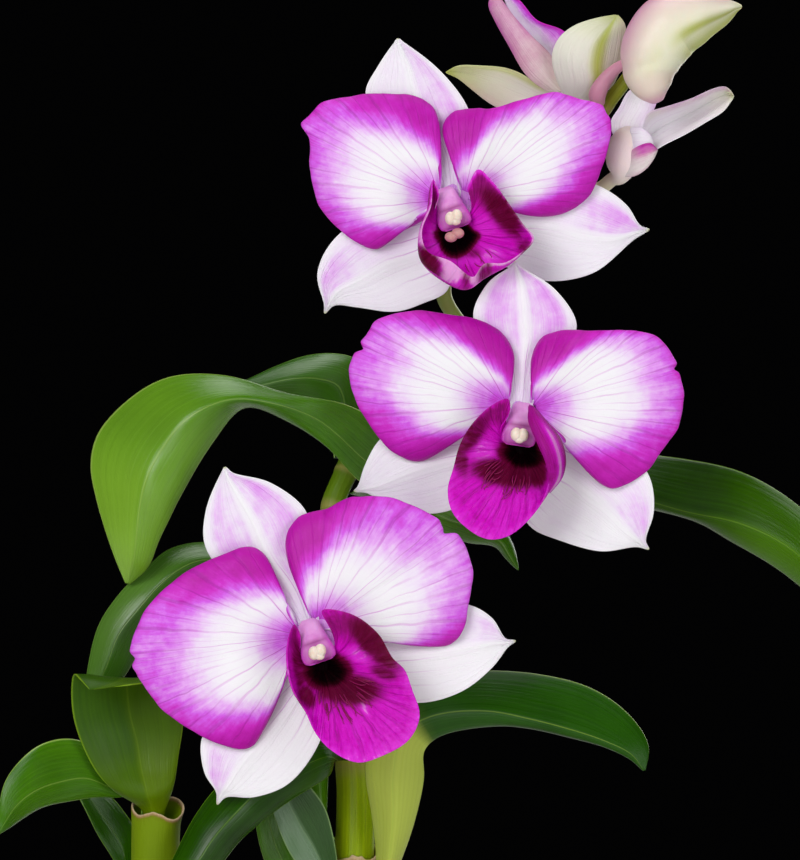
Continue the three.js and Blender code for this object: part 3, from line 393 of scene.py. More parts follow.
softLight("keyLight", (-0.55, -1.15, 0.75), (0.7, 0.7), 11.2)
softLight("fillLight", (0.85, -1.0, 0.35), (0.7, 0.9), 6.3)
softLight("lowLight", (-0.4, -1.25, 0.02), (0.9, 0.5), 3)
softLight("topLight", (0.1, 0.1, 1.15), (0.7, 0.7), 5)
softLight("backLight", (0.5, 1.1, 0.5), (0.8, 0.8), 5)

clearSelection()
bpy.ops.mesh.primitive_circle_add(vertices=96, radius=studio["floorRadius"], fill_type="NGON")
floor = bpy.context.object
floor.name = "floor"
floor.data.materials.append(newFinish("floorPaper", 0.8, Base_Color=studio["floorColour"])[0])
print("studio ready")

# finishes

def tepalFinish(name, veins, veinColour, tones, tip=rgb(214, 220, 150)):
    # white through lilac to magenta by the tint weight; the deep weight brings in the greenish tip colour
    material, tree, shader = newFinish(
        name, 0.5, Sheen_Weight=0.04, Sheen_Roughness=0.4, Subsurface_Weight=0.1, Subsurface_Scale=0.002,
        Subsurface_Radius=(1.0, 0.6, 0.9), Specular_IOR_Level=0.22)
    place, across, along = surfaceInputs(tree)
    tint, green = weight(tree, "tint"), weight(tree, "deep")
    cloud = grain(tree, place, 160, 3)
    vector = stretched(tree, across, along, 70.0, 2.2, cloud)
    streak = minus(tree, grain(tree, vector, 1.6, 4, 0.65), 0.5)
    room = times(tree, plus(tree, tint, 0.03), minus(tree, 1.15, tint))  # little at either end of the tones
    shift = times(tree, streak, times(tree, room, 1.2))
    mottle = minus(tree, grain(tree, place, 330, 4, 0.6), 0.5)
    shade = timesPlus(tree, mottle, times(tree, room, 1.3), plus(tree, tint, shift))
    colour = ramp(tree, shade, tones)
    wobble = times(tree, grain(tree, place, 130, 2), 0.42)
    lines = veinLines(tree, across, wobble, veins, 0.08)
    finer = veinLines(tree, across, times(tree, wobble, 1.6), veins * 2, 0.085)
    finer = times(tree, finer, between(tree, along, 0.35, 0.6))
    both = calc(tree, "MAXIMUM", lines, finer)
    patch = between(tree, grain(tree, vector, 0.5, 2), 0.36, 0.6, 0.12, 1.0)
    amount = times(tree, times(tree, both, patch), weight(tree, "vein"))
    inked = mixed(tree, between(tree, tint, 0.1, 0.7), veinColour, rgb(140, 6, 130))
    colour = mixed(tree, amount, colour, inked)
    colour = mixed(tree, green, colour, tip)
    tree.links.new(colour, shader.inputs["Base Color"])
    cells = grain(tree, place, 2600, 2)
    height = timesPlus(tree, both, -0.3, times(tree, cells, 0.35))
    height = timesPlus(tree, grain(tree, vector, 0.6, 2), 1.4, height)
    relief(tree, shader, height, 0.00025, 0.6)
    return material


def lipFinish(name):
    # the deep weight brings in the lip's own crimson up to a half and near black beyond, the near black being
    # painted shade in the throat's hollow
    material, tree, shader = newFinish(name, 0.45, Subsurface_Weight=0.05, Subsurface_Scale=0.0015)
    place, across, along = surfaceInputs(tree)
    tint, dark = weight(tree, "tint"), weight(tree, "deep")
    cloud = grain(tree, place, 260, 3)
    vector = stretched(tree, across, along, 70.0, 2.4, cloud)
    streak = grain(tree, vector, 1.3, 4, 0.65)
    flecks = minus(tree, grain(tree, place, 700, 3), 0.5)
    flecks = times(tree, flecks, between(tree, along, 0.4, 0.9, 0.0, 0.45))
    level = timesPlus(tree, minus(tree, streak, 0.5), 0.6, plus(tree, tint, flecks))
    colour = ramp(tree, level, [(0.0, rgb(112, 0, 84)), (0.25, rgb(150, 0, 120)), (0.5, rgb(200, 0, 184)),
                                (0.75, rgb(216, 44, 208)), (1.0, rgb(230, 158, 222))])
    wobble = times(tree, grain(tree, place, 200, 2), 0.5)
    lines = veinLines(tree, across, wobble, 20, 0.13)
    finer = times(tree, veinLines(tree, across, wobble, 40, 0.13), between(tree, along, 0.45, 0.7))
    both = calc(tree, "MAXIMUM", lines, finer)
    patch = between(tree, grain(tree, vector, 0.6, 2), 0.35, 0.6, 0.1, 1.0)
    fade = between(tree, along, 0.5, 0.97, 1.0, 0.25)
    veined = times(tree, times(tree, both, patch), times(tree, fade, 0.5))
    colour = mixed(tree, veined, colour, rgb(112, 0, 84))
    ragged = times(tree, minus(tree, streak, 0.5), between(tree, dark, 0.0, 0.3, 0.0, 0.45))
    darkness = plus(tree, dark, ragged)
    deepColour = ramp(tree, darkness, [(0.0, rgb(134, 0, 92)), (0.5, rgb(92, 0, 44)), (0.8, rgb(36, 0, 10)),
                                       (1.0, rgb(6, 0, 1))])
    colour = mixed(tree, between(tree, darkness, 0.0, 0.45), colour, deepColour)
    tree.links.new(colour, shader.inputs["Base Color"])
    tree.links.new(between(tree, darkness, 0.1, 0.8, 0.14, 0.02), shader.inputs["Specular IOR Level"])
    height = timesPlus(tree, both, -0.5, times(tree, grain(tree, place, 2200, 2), 0.6))
    height = timesPlus(tree, grain(tree, vector, 0.5, 2), 1.2, height)
    relief(tree, shader, height, 0.00025, 0.7)
    return material


def fleshFinish(name, light, dark, roughness, scale, deepColour=rgb(150, 10, 130)):
    # smooth plant flesh whose two colours drift into each other; tint brings in the dark one
    material, tree, shader = newFinish(
        name, roughness, Subsurface_Weight=0.1, Subsurface_Scale=0.0015, Specular_IOR_Level=0.4)
    place = surfaceInputs(tree)[0]
    drift = between(tree, grain(tree, place, scale, 3), 0.4, 0.75, 0.0, 0.45)
    colour = mixed(tree, calc(tree, "MAXIMUM", drift, weight(tree, "tint")), light, dark)
    colour = mixed(tree, weight(tree, "deep"), colour, deepColour)
    tree.links.new(colour, shader.inputs["Base Color"])
    relief(tree, shader, grain(tree, place, 3000, 2), 0.00012, 0.5)
    return material


def leafFinish(name, light, dark, margin, second, roughness, gloss=0.22, midrib=0.36):
    # the deep weight brings in the second colour, a lighter green that is mostly painted light: sides that
    # face the lamps, highlights and light shining through the blade; on the pale look it is the leaf's own
    # pale underside
    material, tree, shader = newFinish(name, roughness, Specular_IOR_Level=gloss)
    place, across, along = surfaceInputs(tree)
    cloud = grain(tree, place, 55, 4)
    vector = stretched(tree, across, along, 50.0, 1.3, cloud)
    streak = grain(tree, vector, 1.2, 4, 0.6)
    level = plus(tree, times(tree, cloud, 0.65), times(tree, streak, 0.4))
    colour = ramp(tree, level, [(0.3, dark), (0.72, light)])
    colour = mixed(tree, weight(tree, "deep"), colour, second)
    side = calc(tree, "ABSOLUTE", minus(tree, across, 0.5))
    edge = between(tree, side, 0.478, 0.499)
    rib = between(tree, side, 0.002, 0.014, midrib, 0.0)
    colour = mixed(tree, calc(tree, "MAXIMUM", times(tree, edge, 0.7), rib), colour, margin)
    lines = veinLines(tree, across, times(tree, cloud, 0.5), 13, 0.3)
    colour = mixed(tree, times(tree, lines, 0.05), colour, dark)
    tree.links.new(colour, shader.inputs["Base Color"])
    sheen = timesPlus(tree, grain(tree, vector, 0.7, 3, 0.6), 0.4, roughness - 0.22)
    tree.links.new(sheen, shader.inputs["Roughness"])
    height = timesPlus(tree, lines, -0.08, times(tree, streak, 0.5))
    height = timesPlus(tree, grain(tree, place, 110, 2), 0.5, height)
    height = timesPlus(tree, grain(tree, place, 1500, 2), 0.08, height)
    height = timesPlus(tree, rib, -0.9, height)
    relief(tree, shader, height, 0.0003, 0.45)
    return material


def caneFinish(name, light, dark):
    # tint brings in the tan of the joints; deep brings in a darker green at the top, painted shade where the
    # middle cane runs up behind the leaves
    material, tree, shader = newFinish(name, 0.34, Specular_IOR_Level=0.14)
    place, across, along = surfaceInputs(tree)
    cloud = grain(tree, place, 60, 4)
    vector = stretched(tree, across, along, 30.0, 2.0, cloud)
    streak = grain(tree, vector, 1.5, 3, 0.6)
    level = plus(tree, times(tree, cloud, 0.5), times(tree, streak, 0.6))
    colour = ramp(tree, level, [(0.3, dark), (0.7, light)])
    colour = mixed(tree, weight(tree, "deep"), colour, rgb(78, 114, 20))
    colour = mixed(tree, weight(tree, "tint"), colour, rgb(176, 160, 96))
    tree.links.new(colour, shader.inputs["Base Color"])
    ribs = veinLines(tree, across, times(tree, cloud, 0.3), 14, 0.4)
    relief(tree, shader, timesPlus(tree, ribs, 0.3, streak), 0.00025, 0.4)
    return material


def sheathFinish(name):
    material, tree, shader = newFinish(name, 0.6, Specular_IOR_Level=0.14)
    across, along = surfaceInputs(tree)[1:]
    fibre = grain(tree, stretched(tree, across, along, 60.0, 2.0), 1.5, 4, 0.65)
    dry = plus(tree, weight(tree, "tint"), times(tree, minus(tree, fibre, 0.5), 0.25))
    colour = ramp(tree, dry, [(0.0, rgb(112, 138, 2)), (0.55, rgb(112, 126, 8)), (0.75, rgb(150, 120, 76)),
                              (1.0, rgb(198, 174, 136))])
    tree.links.new(colour, shader.inputs["Base Color"])
    relief(tree, shader, fibre, 0.0003, 0.6)
    return material


def clayFinish(name):
    material, tree, shader = newFinish(name, 0.88)
    place = put(tree, "ShaderNodeTexCoord").outputs["Object"]
    cloud = grain(tree, place, 24, 5, 0.6)
    speckle = grain(tree, place, 900, 3)
    colour = ramp(tree, cloud, [(0.3, rgb(150, 82, 52)), (0.55, rgb(178, 102, 66)),
                                (0.75, rgb(194, 122, 84))])
    lime = between(tree, grain(tree, place, 38, 6, 0.7), 0.56, 0.78, 0.0, 0.45)
    colour = mixed(tree, lime, colour, rgb(222, 196, 172))
    colour = mixed(tree, between(tree, speckle, 0.62, 0.75, 0.0, 0.35), colour, rgb(110, 58, 40))
    tree.links.new(colour, shader.inputs["Base Color"])
    height = plus(tree, times(tree, speckle, 0.5), grain(tree, place, 200, 4))
    relief(tree, shader, height, 0.0004, 0.6)
    return material


def barkFinish(name):
    material, tree, shader = newFinish(name, 0.9)
    place = put(tree, "ShaderNodeTexCoord").outputs["Object"]
    chip = put(tree, "ShaderNodeTexVoronoi", {"Vector": place, "Scale": 130.0}).outputs["Color"]
    tone = put(tree, "ShaderNodeSeparateXYZ", {0: chip}).outputs["X"]
    fibre = grain(tree, place, 700, 5, 0.7)
    level = plus(tree, times(tree, tone, 0.5), times(tree, fibre, 0.5))
    colour = ramp(tree, level, [(0.2, rgb(46, 28, 18)), (0.5, rgb(98, 62, 38)), (0.8, rgb(150, 104, 66))])
    tree.links.new(colour, shader.inputs["Base Color"])
    relief(tree, shader, fibre, 0.0008, 0.9)
    return material


petalTones = [(0.0, rgb(243, 240, 246)), (0.16, rgb(238, 222, 245)), (0.34, rgb(228, 168, 240)),
              (0.58, rgb(210, 92, 228)), (0.78, rgb(202, 36, 194)), (1.0, rgb(178, 4, 158))]
blushTones = [(0.0, rgb(232, 228, 222)), (0.3, rgb(226, 196, 208)), (0.6, rgb(208, 140, 180)),
              (0.85, rgb(200, 84, 178)), (1.0, rgb(180, 20, 150))]
petalSkin = tepalFinish("petalSkin", 16, rgb(210, 92, 212), petalTones)
sepalSkin = tepalFinish("sepalSkin", 7, rgb(200, 100, 206), petalTones)
blushSkin = tepalFinish("blushSkin", 7, rgb(206, 130, 180), blushTones, rgb(192, 202, 98))
lipSkin = lipFinish("lipSkin")
columnSkin = fleshFinish("columnSkin", rgb(222, 152, 216), rgb(188, 54, 178), 0.42, 300.0, rgb(140, 6, 116))
capSkin = fleshFinish("capSkin", rgb(238, 222, 206), rgb(220, 186, 164), 0.4, 700.0)
pollenSkin = fleshFinish("pollenSkin", rgb(206, 152, 148), rgb(178, 108, 124), 0.5, 700.0)
hairSkin = fleshFinish("hairSkin", rgb(142, 2, 84), rgb(104, 0, 50), 0.6, 900.0)
pedicelSkin = fleshFinish("pedicelSkin", rgb(142, 168, 66), rgb(178, 172, 116), 0.4, 90.0, rgb(206, 134, 168))
budDark, budBlush = rgb(180, 190, 70), rgb(218, 150, 186)
budSkin = fleshFinish("budSkin", rgb(234, 233, 206), budDark, 0.36, 60.0, budBlush)
# a lighter copy of the bud's flesh for the half-open bloom's chin, painted light against the shadow that a
# petal casts on it
paintedLitChinSkin = fleshFinish("paintedLitChinSkin", rgb(252, 238, 232), budDark, 0.36, 60.0, budBlush)
# each look's second colour is the lighter green of painted light, except on the pale look, where it is the
# pale underside
leafLooks = {
    "bright": {"light": (78, 132, 10), "dark": (40, 88, 2), "margin": (160, 190, 88),
      "second": (136, 182, 52), "settings": {"roughness": 0.28, "gloss": 0.42}},
    "deep": {"light": (52, 102, 12), "dark": (24, 64, 4), "margin": (140, 176, 80),
      "second": (120, 164, 70), "settings": {"roughness": 0.26, "gloss": 0.42}},
    "grey": {"light": (44, 82, 26), "dark": (22, 52, 14), "margin": (120, 150, 90),
      "second": (112, 142, 108), "settings": {"roughness": 0.3, "gloss": 0.3}},
    "dark": {"light": (42, 86, 2), "dark": (14, 44, 0), "margin": (110, 150, 38),
      "second": (88, 138, 14), "settings": {"roughness": 0.24, "gloss": 0.26}},
    "pale": {"light": (38, 88, 4), "dark": (20, 60, 0), "margin": (150, 182, 70),
      "second": (176, 192, 78), "settings": {"roughness": 0.34}},
    "olive": {"light": (60, 98, 0), "dark": (36, 70, 0), "margin": (130, 164, 34),
      "second": (136, 160, 4), "settings": {"roughness": 0.42, "gloss": 0.14, "midrib": 0.12}},
}
leafSkins = {}
for name, look in leafLooks.items():
    tones = [rgb(*look[tone]) for tone in ("light", "dark", "margin", "second")]
    leafSkins[name] = leafFinish(name + "Leaf", *tones, **look["settings"])
caneSkin = caneFinish("caneSkin", rgb(140, 162, 4), rgb(92, 118, 0))
# a lighter copy of the cane finish for the middle cane, painted light where the blooms and leaves shade it
paintedLitCaneSkin = caneFinish("paintedLitCaneSkin", rgb(164, 188, 14), rgb(116, 144, 2))
stemSkin = caneFinish("stemSkin", rgb(150, 158, 44), rgb(106, 126, 24))
sheathSkin = sheathFinish("sheathSkin")
claySkin = clayFinish("clay")
barkSkin = barkFinish("barkChips")
print("finishes ready")

# stems; stations are x, y, z and radius in mm, joints lie from 0 at the foot to 1 at the top

stems = {
    "leftCane": {
        "node": "left_cane", "slot": "cane", "skin": caneSkin, "grid": (28, 30),
        "joints": (0.4, 0.65), "swell": 0.4, "green": 0.0,
        "stations": [(-20, 9, 66, 4.4), (-22, 8, 84, 4.7), (-24, 6, 104, 4.9), (-25.5, 3, 122, 5),
            (-26, 0.5, 140, 4.7), (-26, 0, 158.2, 4.6)],
    },
    "middleCane": {
        "node": "middle_cane", "slot": "cane", "skin": paintedLitCaneSkin, "grid": (28, 60),
        # green sets the painted shade on the cane's top, where it runs behind the leaves
        "joints": (0.3, 0.5, 0.7, 0.8, 0.9), "swell": 0.3, "green": 0.85,
        "stations": [(8, 5, 66, 4.6), (10, 5, 84, 4.8), (12.5, 6, 104, 4.9), (17, 10, 126.5, 4.8),
            (19, 12, 149.5, 4.6), (19, 14, 170.5, 4.2), (16.5, 17, 185.5, 3.7), (14.5, 20, 208.5, 3),
            (14, 22, 230, 2.7), (17, 24, 238, 2.6), (18.5, 26, 243, 2.3)],
    },
    "flowerStem": {
        "node": "flower_stem", "slot": "stem", "skin": stemSkin, "grid": (20, 52),
        "joints": tuple(k / 26 for k in (5, 7, 9, 15, 18)), "swell": 0.3, "green": 0.0,
        "stations": [(18.62, 26.16, 243.4, 2.1), (19.4, 27.1, 245.8, 1.95), (23, 30, 250, 1.9),
            (30.5, 32, 258, 1.9), (40, 32, 265, 1.9), (51, 30, 273.5, 1.9), (56.5, 30, 285, 1.8),
            (63.5, 28, 298.5, 1.8), (70.5, 26, 312, 1.8), (77, 24, 322.5, 1.7), (81, 22.3, 327.5, 1.6),
            (84, 21.5, 332, 1.3), (86.5, 21.5, 336.5, 0.9), (87.5, 21.5, 339, 0.5)],
    },
}


def nearJoint(stem, v, width):
    # 1 at a joint, fading to 0 either side; one value for each joint
    return [math.exp(-((v - place) / width) ** 2) for place in stem["joints"]]


def jointSwell(stem):
    def swell(turn, v):
        return sum(stem["swell"] * near for near in nearJoint(stem, v, 0.012))
    return swell


def jointAndShadeMarks(stem):
    def marks(u, v):
        # tint marks the joints; deep is painted shade on the top part, as strong as the stem's green key
        return 0.55 * max(nearJoint(stem, v, 0.01)), stem["green"] * step(0.62, 0.8, v), 0.0
    return marks


for name, stem in stems.items():
    piece = tube(name, stem["stations"], *stem["grid"], stem["skin"], jointSwell(stem),
                 marks=jointAndShadeMarks(stem))
    standsFor(piece, stem["node"], stem["slot"])


def caneAt(stem, height):
    # centre and radius of a cane at a height
    stations = stems[stem]["stations"]
    centres = vectors([s[:3] for s in stations])
    radii = [Vector((s[3], 0, 0)) for s in stations]
    low, high = 0.0, 1.0
    for _ in range(24):
        half = (low + high) / 2
        if pointAlong(centres, half).z < height:
            low = half
        else:
            high = half
    centre = pointAlong(centres, low)
    return centre.x, centre.y, pointAlong(radii, low).x


# papery sleeves round the canes; rim and flare are given at eight places round them, from the right by
# the back

sleeves = {
    "left": {"stem": "leftCane", "foot": 146, "node": "left_cane_sheath",
             "rim": [162, 164, 164, 163.6, 162.8, 160.6, 161.3, 159.6],
             "flare": [1.3, 0.9, 0.2, 0.1, 0.1, 0, 0.1, 1.2], "ragged": 0.12, "dryFrom": 0.86},
    "middle": {"stem": "middleCane", "foot": 139, "node": "middle_cane_sheath",
               "rim": [151.5, 152.5, 152, 151, 152, 149.5, 150.5, 149.5],
               "flare": [0.3, 0.3, 0.3, 0.3, 0.6, 0.3, 0.2, 0.4], "ragged": 0.35, "dryFrom": 0.6},
}


def roundKeys(values, t):
    # smooth value at t of a short list spread evenly round a ring
    place = (t % 1.0) * len(values)
    k = int(place)
    w = place - k
    p0, p1, p2, p3 = [values[(k + shift) % len(values)] for shift in (-1, 0, 1, 2)]
    return (p1 + (p2 - p0) * 0.5 * w + (p0 - p1 * 2.5 + p2 * 2 - p3 * 0.5) * w ** 2
            + (p1 * 1.5 - p0 * 0.5 - p2 * 1.5 + p3 * 0.5) * w ** 3)


def makeSleeve(name, sleeve):
    wall = 0.5
    fibres = 14
    piece, places = newGrid(name, 64, 16)
    for vert, (u, v) in zip(piece.data.vertices, places):
        turn = 2 * math.pi * u
        rag = noise.noise(Vector((fibres * math.cos(turn), fibres * math.sin(turn), 3)))
        top = roundKeys(sleeve["rim"], u) + 2 * sleeve["ragged"] * rag
        z = sleeve["foot"] + (top - sleeve["foot"]) * v
        x, y, radius = caneAt(sleeve["stem"], z)
        reach = radius + seatGap + wall / 2 + roundKeys(sleeve["flare"], u) * v ** 6
        vert.co = Vector((x + reach * math.cos(turn), y + reach * math.sin(turn), z)) * mm
    colourWeights(piece.data, [(step(sleeve["dryFrom"], 1.0, v), 0, 0) for u, v in places])
    weld(outward=False)
    skin = piece.modifiers.new("wall", "SOLIDIFY")
    skin.thickness = wall * mm
    skin.offset = 0
    subdivide(piece)
    applyModifiers(piece)
    standsFor(coated(piece, sheathSkin), sleeve["node"], "sheath")


for side, sleeve in sleeves.items():
    makeSleeve(side + "Sheath", sleeve)
print("stems ready")

# leaves, as their left edge, rib and right edge from base to tip, in mm; seat says where the first row
# clasps a cane, and base gives that row where nothing is clasped

# a leaf's second keys say, for each side of the rib from base to tip, how much painted light (its lighter
# second colour) it takes
leaves = {
  "arched_leaf": {
    "seat": {"cane": "middleCane", "height": 239, "facing": -55, "spread": -40},
    "left": [[28, 17, 245.5], [26.5, 13, 248], [17.5, 6, 253.5], [3.5, 0, 256], [-10.5, -2, 260],
      [-25.5, 2, 259], [-38.5, 3, 248.5], [-41, 2, 240.5], [-39.5, 0, 231.5], [-36, 0, 220.5]],
    "rib": [[24.5, 17.5, 240], [22, 12, 240], [11.5, 3, 249.5], [1.5, -4, 253.5], [-9, -8, 254.5],
      [-18.5, -9, 250], [-24.5, -8, 242.5], [-27.5, -8, 236.5], [-29, -7, 230.5], [-30.5, -4, 219]],
    "right": [[23.5, 17, 236], [20.5, 12, 235.5], [13, 6, 243.5], [4, 2, 249.5], [-5.5, 0, 253],
      [-13, -3, 244.5], [-20, -5, 232.5], [-22.5, -5, 227.5], [-25, -4, 222.5], [-27.5, -2, 216.5]],
    "tip": [-32.5, 2, 212],
    "second": ([0, 0, 0.05, 0.35, 0.7, 1.0], [0, 0, 0, 0.35, 0.5, 0.65]),
    "colour": "bright",
  },
  "back_leaf": {
    "seat": {"cane": "middleCane", "height": 241, "facing": 140, "spread": 35},
    "left": [[18.5, 31, 244.5], [22.5, 33.5, 250], [24, 33.5, 258], [19.5, 31.5, 264], [13.5, 30, 265.5],
      [7.5, 30, 265], [1, 28, 262.5], [-6.5, 26, 259]],
    "rib": [[15, 28.5, 244.5], [16, 28, 248], [16.5, 27.5, 253], [15, 26, 258], [10.5, 24.5, 259.5],
      [5.5, 24, 259.5], [0, 24, 258.5], [-7.5, 24, 256.5]],
    "right": [[14, 26, 242.5], [13, 27, 243.5], [11, 27.5, 246], [8, 28, 249.5], [4, 28, 252],
      [0, 27.5, 253.5], [-4, 26, 254], [-10, 25, 254]],
    "tip": [-17, 24, 255], "second": ([0, 0.1, 0.1, 0], [0, 0.05, 0.1, 0.2]), "skin": "deep",
    "colour": "bright",
  },
  "low_left_leaf": {
    "seat": {"cane": "middleCane", "height": 206, "facing": -170, "spread": -45},
    "left": [[-2, 14, 219.5], [-16, 10, 222], [-23, 8, 220.5], [-28, 6, 216.5], [-34, 4, 211],
      [-39, 3, 203.5], [-41.5, 3, 194]],
    "rib": [[-2, 9, 214.5], [-15, 4, 218], [-20.5, 2, 216], [-25, 1, 212.5], [-29.5, 0, 207.5],
      [-34.5, 0, 201], [-37.5, 1, 193]],
    "right": [[-1, 12, 208], [-11.5, 7, 210.5], [-17, 5, 209.5], [-21, 4, 206], [-25, 4, 202],
      [-29.5, 3, 197.5], [-34, 3, 190.5]],
    "tip": [-42.5, 4, 185], "second": ([0.1, 0.2, 0.4, 0.3], [0, 0.1, 0.1, 0.1]), "skin": "deep",
    "colour": "bright",
  },
  "right_leaf": {
    "seat": {"cane": "middleCane", "height": 240, "facing": 60, "spread": 40},
    "left": [[36.5, 40, 246], [62.5, 42, 245.5], [81, 38, 242.5], [95, 32, 241], [109, 24, 238],
      [121.5, 16, 230], [130.5, 8, 219]],
    "rib": [[36.5, 37, 241], [62, 37, 237], [80.5, 31, 233], [96, 25, 228.5], [108, 18, 226],
      [119, 11, 220.5], [128, 4, 211]],
    "right": [[36.5, 38, 236], [62.5, 40, 231], [81, 36, 230], [94.5, 31, 228.5], [105.5, 23, 222],
      [116.5, 16, 215.5], [127, 8, 207]],
    "tip": [136, 2, 200], "second": ([0, 0, 0, 0.2, 0.3], [0, 0.05, 0.15, 0.5, 0.6]), "colour": "dark",
  },
  "hanging_leaf": {
    "seat": {"cane": "middleCane", "height": 233, "facing": 10, "spread": 40},
    "left": [[29.5, 30, 238], [40, 28, 231.5], [48, 26, 228], [54, 24, 224], [56, 24, 220]],
    "rib": [[28, 27, 234], [39, 25, 227.5], [46.5, 22, 225], [52.5, 21, 222], [54.5, 22, 219]],
    "right": [[26.5, 30, 230.5], [38, 28, 224], [45.5, 26, 221.5], [51.5, 24, 220.5], [54, 24, 218]],
    "tip": [57, 24, 215], "colour": "bright",
  },
  "upright_leaf": {
    "base": [[-28.2, -1.2, 159.1], [-26.5, -3, 159.1], [-24.4, -1.2, 159.1]],
    "left": [[-29.2, -2, 161.9], [-35, -6, 166], [-39, -8, 170.5], [-42, -9, 176], [-44, -10, 182.5],
      [-44.5, -11, 188.5], [-44, -13, 192.5], [-42.5, -17, 192]],
    "rib": [[-26.6, -3.9, 161.9], [-27.5, -7, 165.5], [-29, -5, 171], [-30, -4, 177], [-31.5, -5, 183],
      [-32, -8, 188], [-32, -12, 191.5], [-33.5, -17, 191]],
    "right": [[-23.4, -2, 162.2], [-21.5, -5, 167.5], [-20.5, -5, 174], [-19.5, -6, 180], [-19, -8, 185.5],
      [-19, -10, 189.5], [-21.5, -13, 191.5], [-28, -17, 191]],
    "tip": [-39.5, -20, 189.5], "second": ([0.6, 0.1, 0, 0, 0], [0.7, 0.25, 0.1, 0.05, 0.1]),
    "colour": "olive",
  },
  "left_leaf": {
    "base": [[-27, 2.8, 159.1], [-28.4, 1.6, 159.1], [-29.2, 0.4, 159.1]],
    "left": [[-28, 2.4, 164.8], [-36, 0, 171.5], [-41, -3, 176.5], [-46.5, -8, 178], [-52.5, -14, 176.5],
      [-58, -20, 170.5], [-59.5, -26, 164.5]],
    "rib": [[-29.2, 1.2, 164.6], [-36, -3, 166.5], [-41.5, -8, 169], [-47, -13, 168.5], [-52, -19, 167],
      [-56, -24, 164], [-58, -28, 161]],
    "right": [[-29.7, 0.2, 164.4], [-35, -1, 164.2], [-40, -5, 164.5], [-45.5, -10, 164], [-50.5, -16, 163],
      [-54.5, -21, 161], [-57, -26, 159.5]],
    "tip": [-59.5, -30, 158], "colour": "bright",
  },
  "lower_left_leaf": {
    "seat": {"cane": "leftCane", "height": 136, "facing": 165, "spread": -35},
    "left": [[-34, 7, 145], [-36, 10, 149], [-39.5, 12, 154], [-42.5, 14, 160], [-46, 16, 166]],
    "rib": [[-33, 9.5, 147.5], [-34, 11.5, 152], [-37, 13.5, 156.5], [-40, 15, 160.5], [-44, 17, 166]],
    "right": [[-31, 8, 151], [-31, 10, 156], [-33.5, 12, 160], [-37, 14, 163.5], [-42.5, 16, 167.5]],
    "tip": [-49, 18, 172], "colour": "dark",
  },
  "dark_leaf": {
    "seat": {"cane": "middleCane", "height": 172, "facing": -125, "spread": -40},
    "left": [[11.5, 1, 176.5], [2.5, -4, 175], [-5.5, -7, 172], [-11.5, -9, 167.5], [-17, -11, 160.5],
      [-21.5, -13, 151.5], [-26, -14, 142.5]],
    "rib": [[12.5, -1, 173.5], [5, -7, 170.5], [-1.5, -11, 167], [-6.5, -14, 162.5], [-12, -16, 156.5],
      [-16, -17, 150.5], [-22.5, -17, 142]],
    "right": [[13.5, 2, 169], [8.5, -3, 166], [3.5, -6, 163], [-1.5, -9, 159.5], [-6.5, -11, 155],
      [-11, -13, 149.5], [-19.5, -14, 140.5]],
    "tip": [-30.5, -13, 133.5], "colour": "dark",
  },
  "grey_leaf": {
    "seat": {"cane": "middleCane", "height": 131, "facing": -122, "spread": -28},
    "left": [[15.5, 2.5, 147.5], [14.5, 0, 155], [12.5, -1, 162], [9.5, -1, 166.5], [5, 0, 170.5]],
    "rib": [[12.5, 4, 146], [10, 3, 152.5], [7, 2, 157.5], [4.5, 1, 162.5], [2, 1, 167.5]],
    "right": [[9, 2, 144], [5.5, 1, 149.5], [3, 0, 154.5], [1, 0, 159.5], [-0.5, 0, 165.5]],
    "tip": [-0.5, 1, 173], "second": ([0.1, 0.1, 0.15], [0.45, 0.65, 0.45]), "skin": "grey",
    "colour": "dark",
  },
  "green_leaf": {
    "seat": {"cane": "middleCane", "height": 125, "facing": 165, "spread": -35},
    "left": [[10, 10, 140], [7.5, 8.5, 148.5], [5.5, 7.5, 154], [3, 7, 160], [0.5, 7, 165]],
    "rib": [[7, 9, 139], [3.5, 7.5, 147.5], [1, 7, 153], [-0.5, 7, 158.5], [-1.5, 7, 164.5]],
    "right": [[4, 10, 138], [-0.5, 8.5, 146.5], [-2.5, 7.5, 152.5], [-3.5, 7, 158], [-3, 7, 164]],
    "tip": [-2, 7, 170.5], "colour": "bright",
  },
  "node_leaf": {
    "seat": {"cane": "middleCane", "height": 153.8, "facing": 195, "spread": -25},
    "left": [[12.6, 10, 158], [12.8, 10.5, 163], [13, 11, 168], [13, 12, 172.5]],
    "rib": [[12, 7.5, 157.5], [11.5, 7.5, 162], [11, 8.5, 166.5], [10.5, 10, 171.5]],
    "right": [[10, 7.5, 156], [9, 8, 160], [8.5, 9, 165], [8.5, 11, 171]],
    "tip": [11, 13, 177], "colour": "bright",
  },
  "pale_leaf": {
    "seat": {"cane": "middleCane", "height": 127, "facing": -30, "spread": 40},
    "left": [[24, 5, 147], [23.2, 1.5, 159], [21.5, -2, 171], [23.5, -6, 184], [33, -4, 192],
      [49.5, 2, 193], [62.5, 4, 192], [73, 4, 189], [81.5, 2, 183], [86, 0, 176]],
    "rib": [[26.5, 1, 146.5], [28, -4, 159.5], [28, -7, 169.5], [30, -9, 179], [36.5, -8, 183],
      [48.5, -5, 184], [59, -3, 182], [68.5, -2, 179.5], [76, -2, 177], [82, -2, 174]],
    "right": [[29, 4, 147.5], [32.5, 0, 157.5], [35, -3, 168.5], [35, -5, 175], [38.5, -5, 178.5],
      [50, -2, 180.5], [59.5, 0, 180], [68.5, 1, 178], [76.5, 0, 176], [82, -1, 173]],
    "tip": [85, -2, 170], "colour": "pale", "paleBelow": (0.44, 0.38),
  },
}


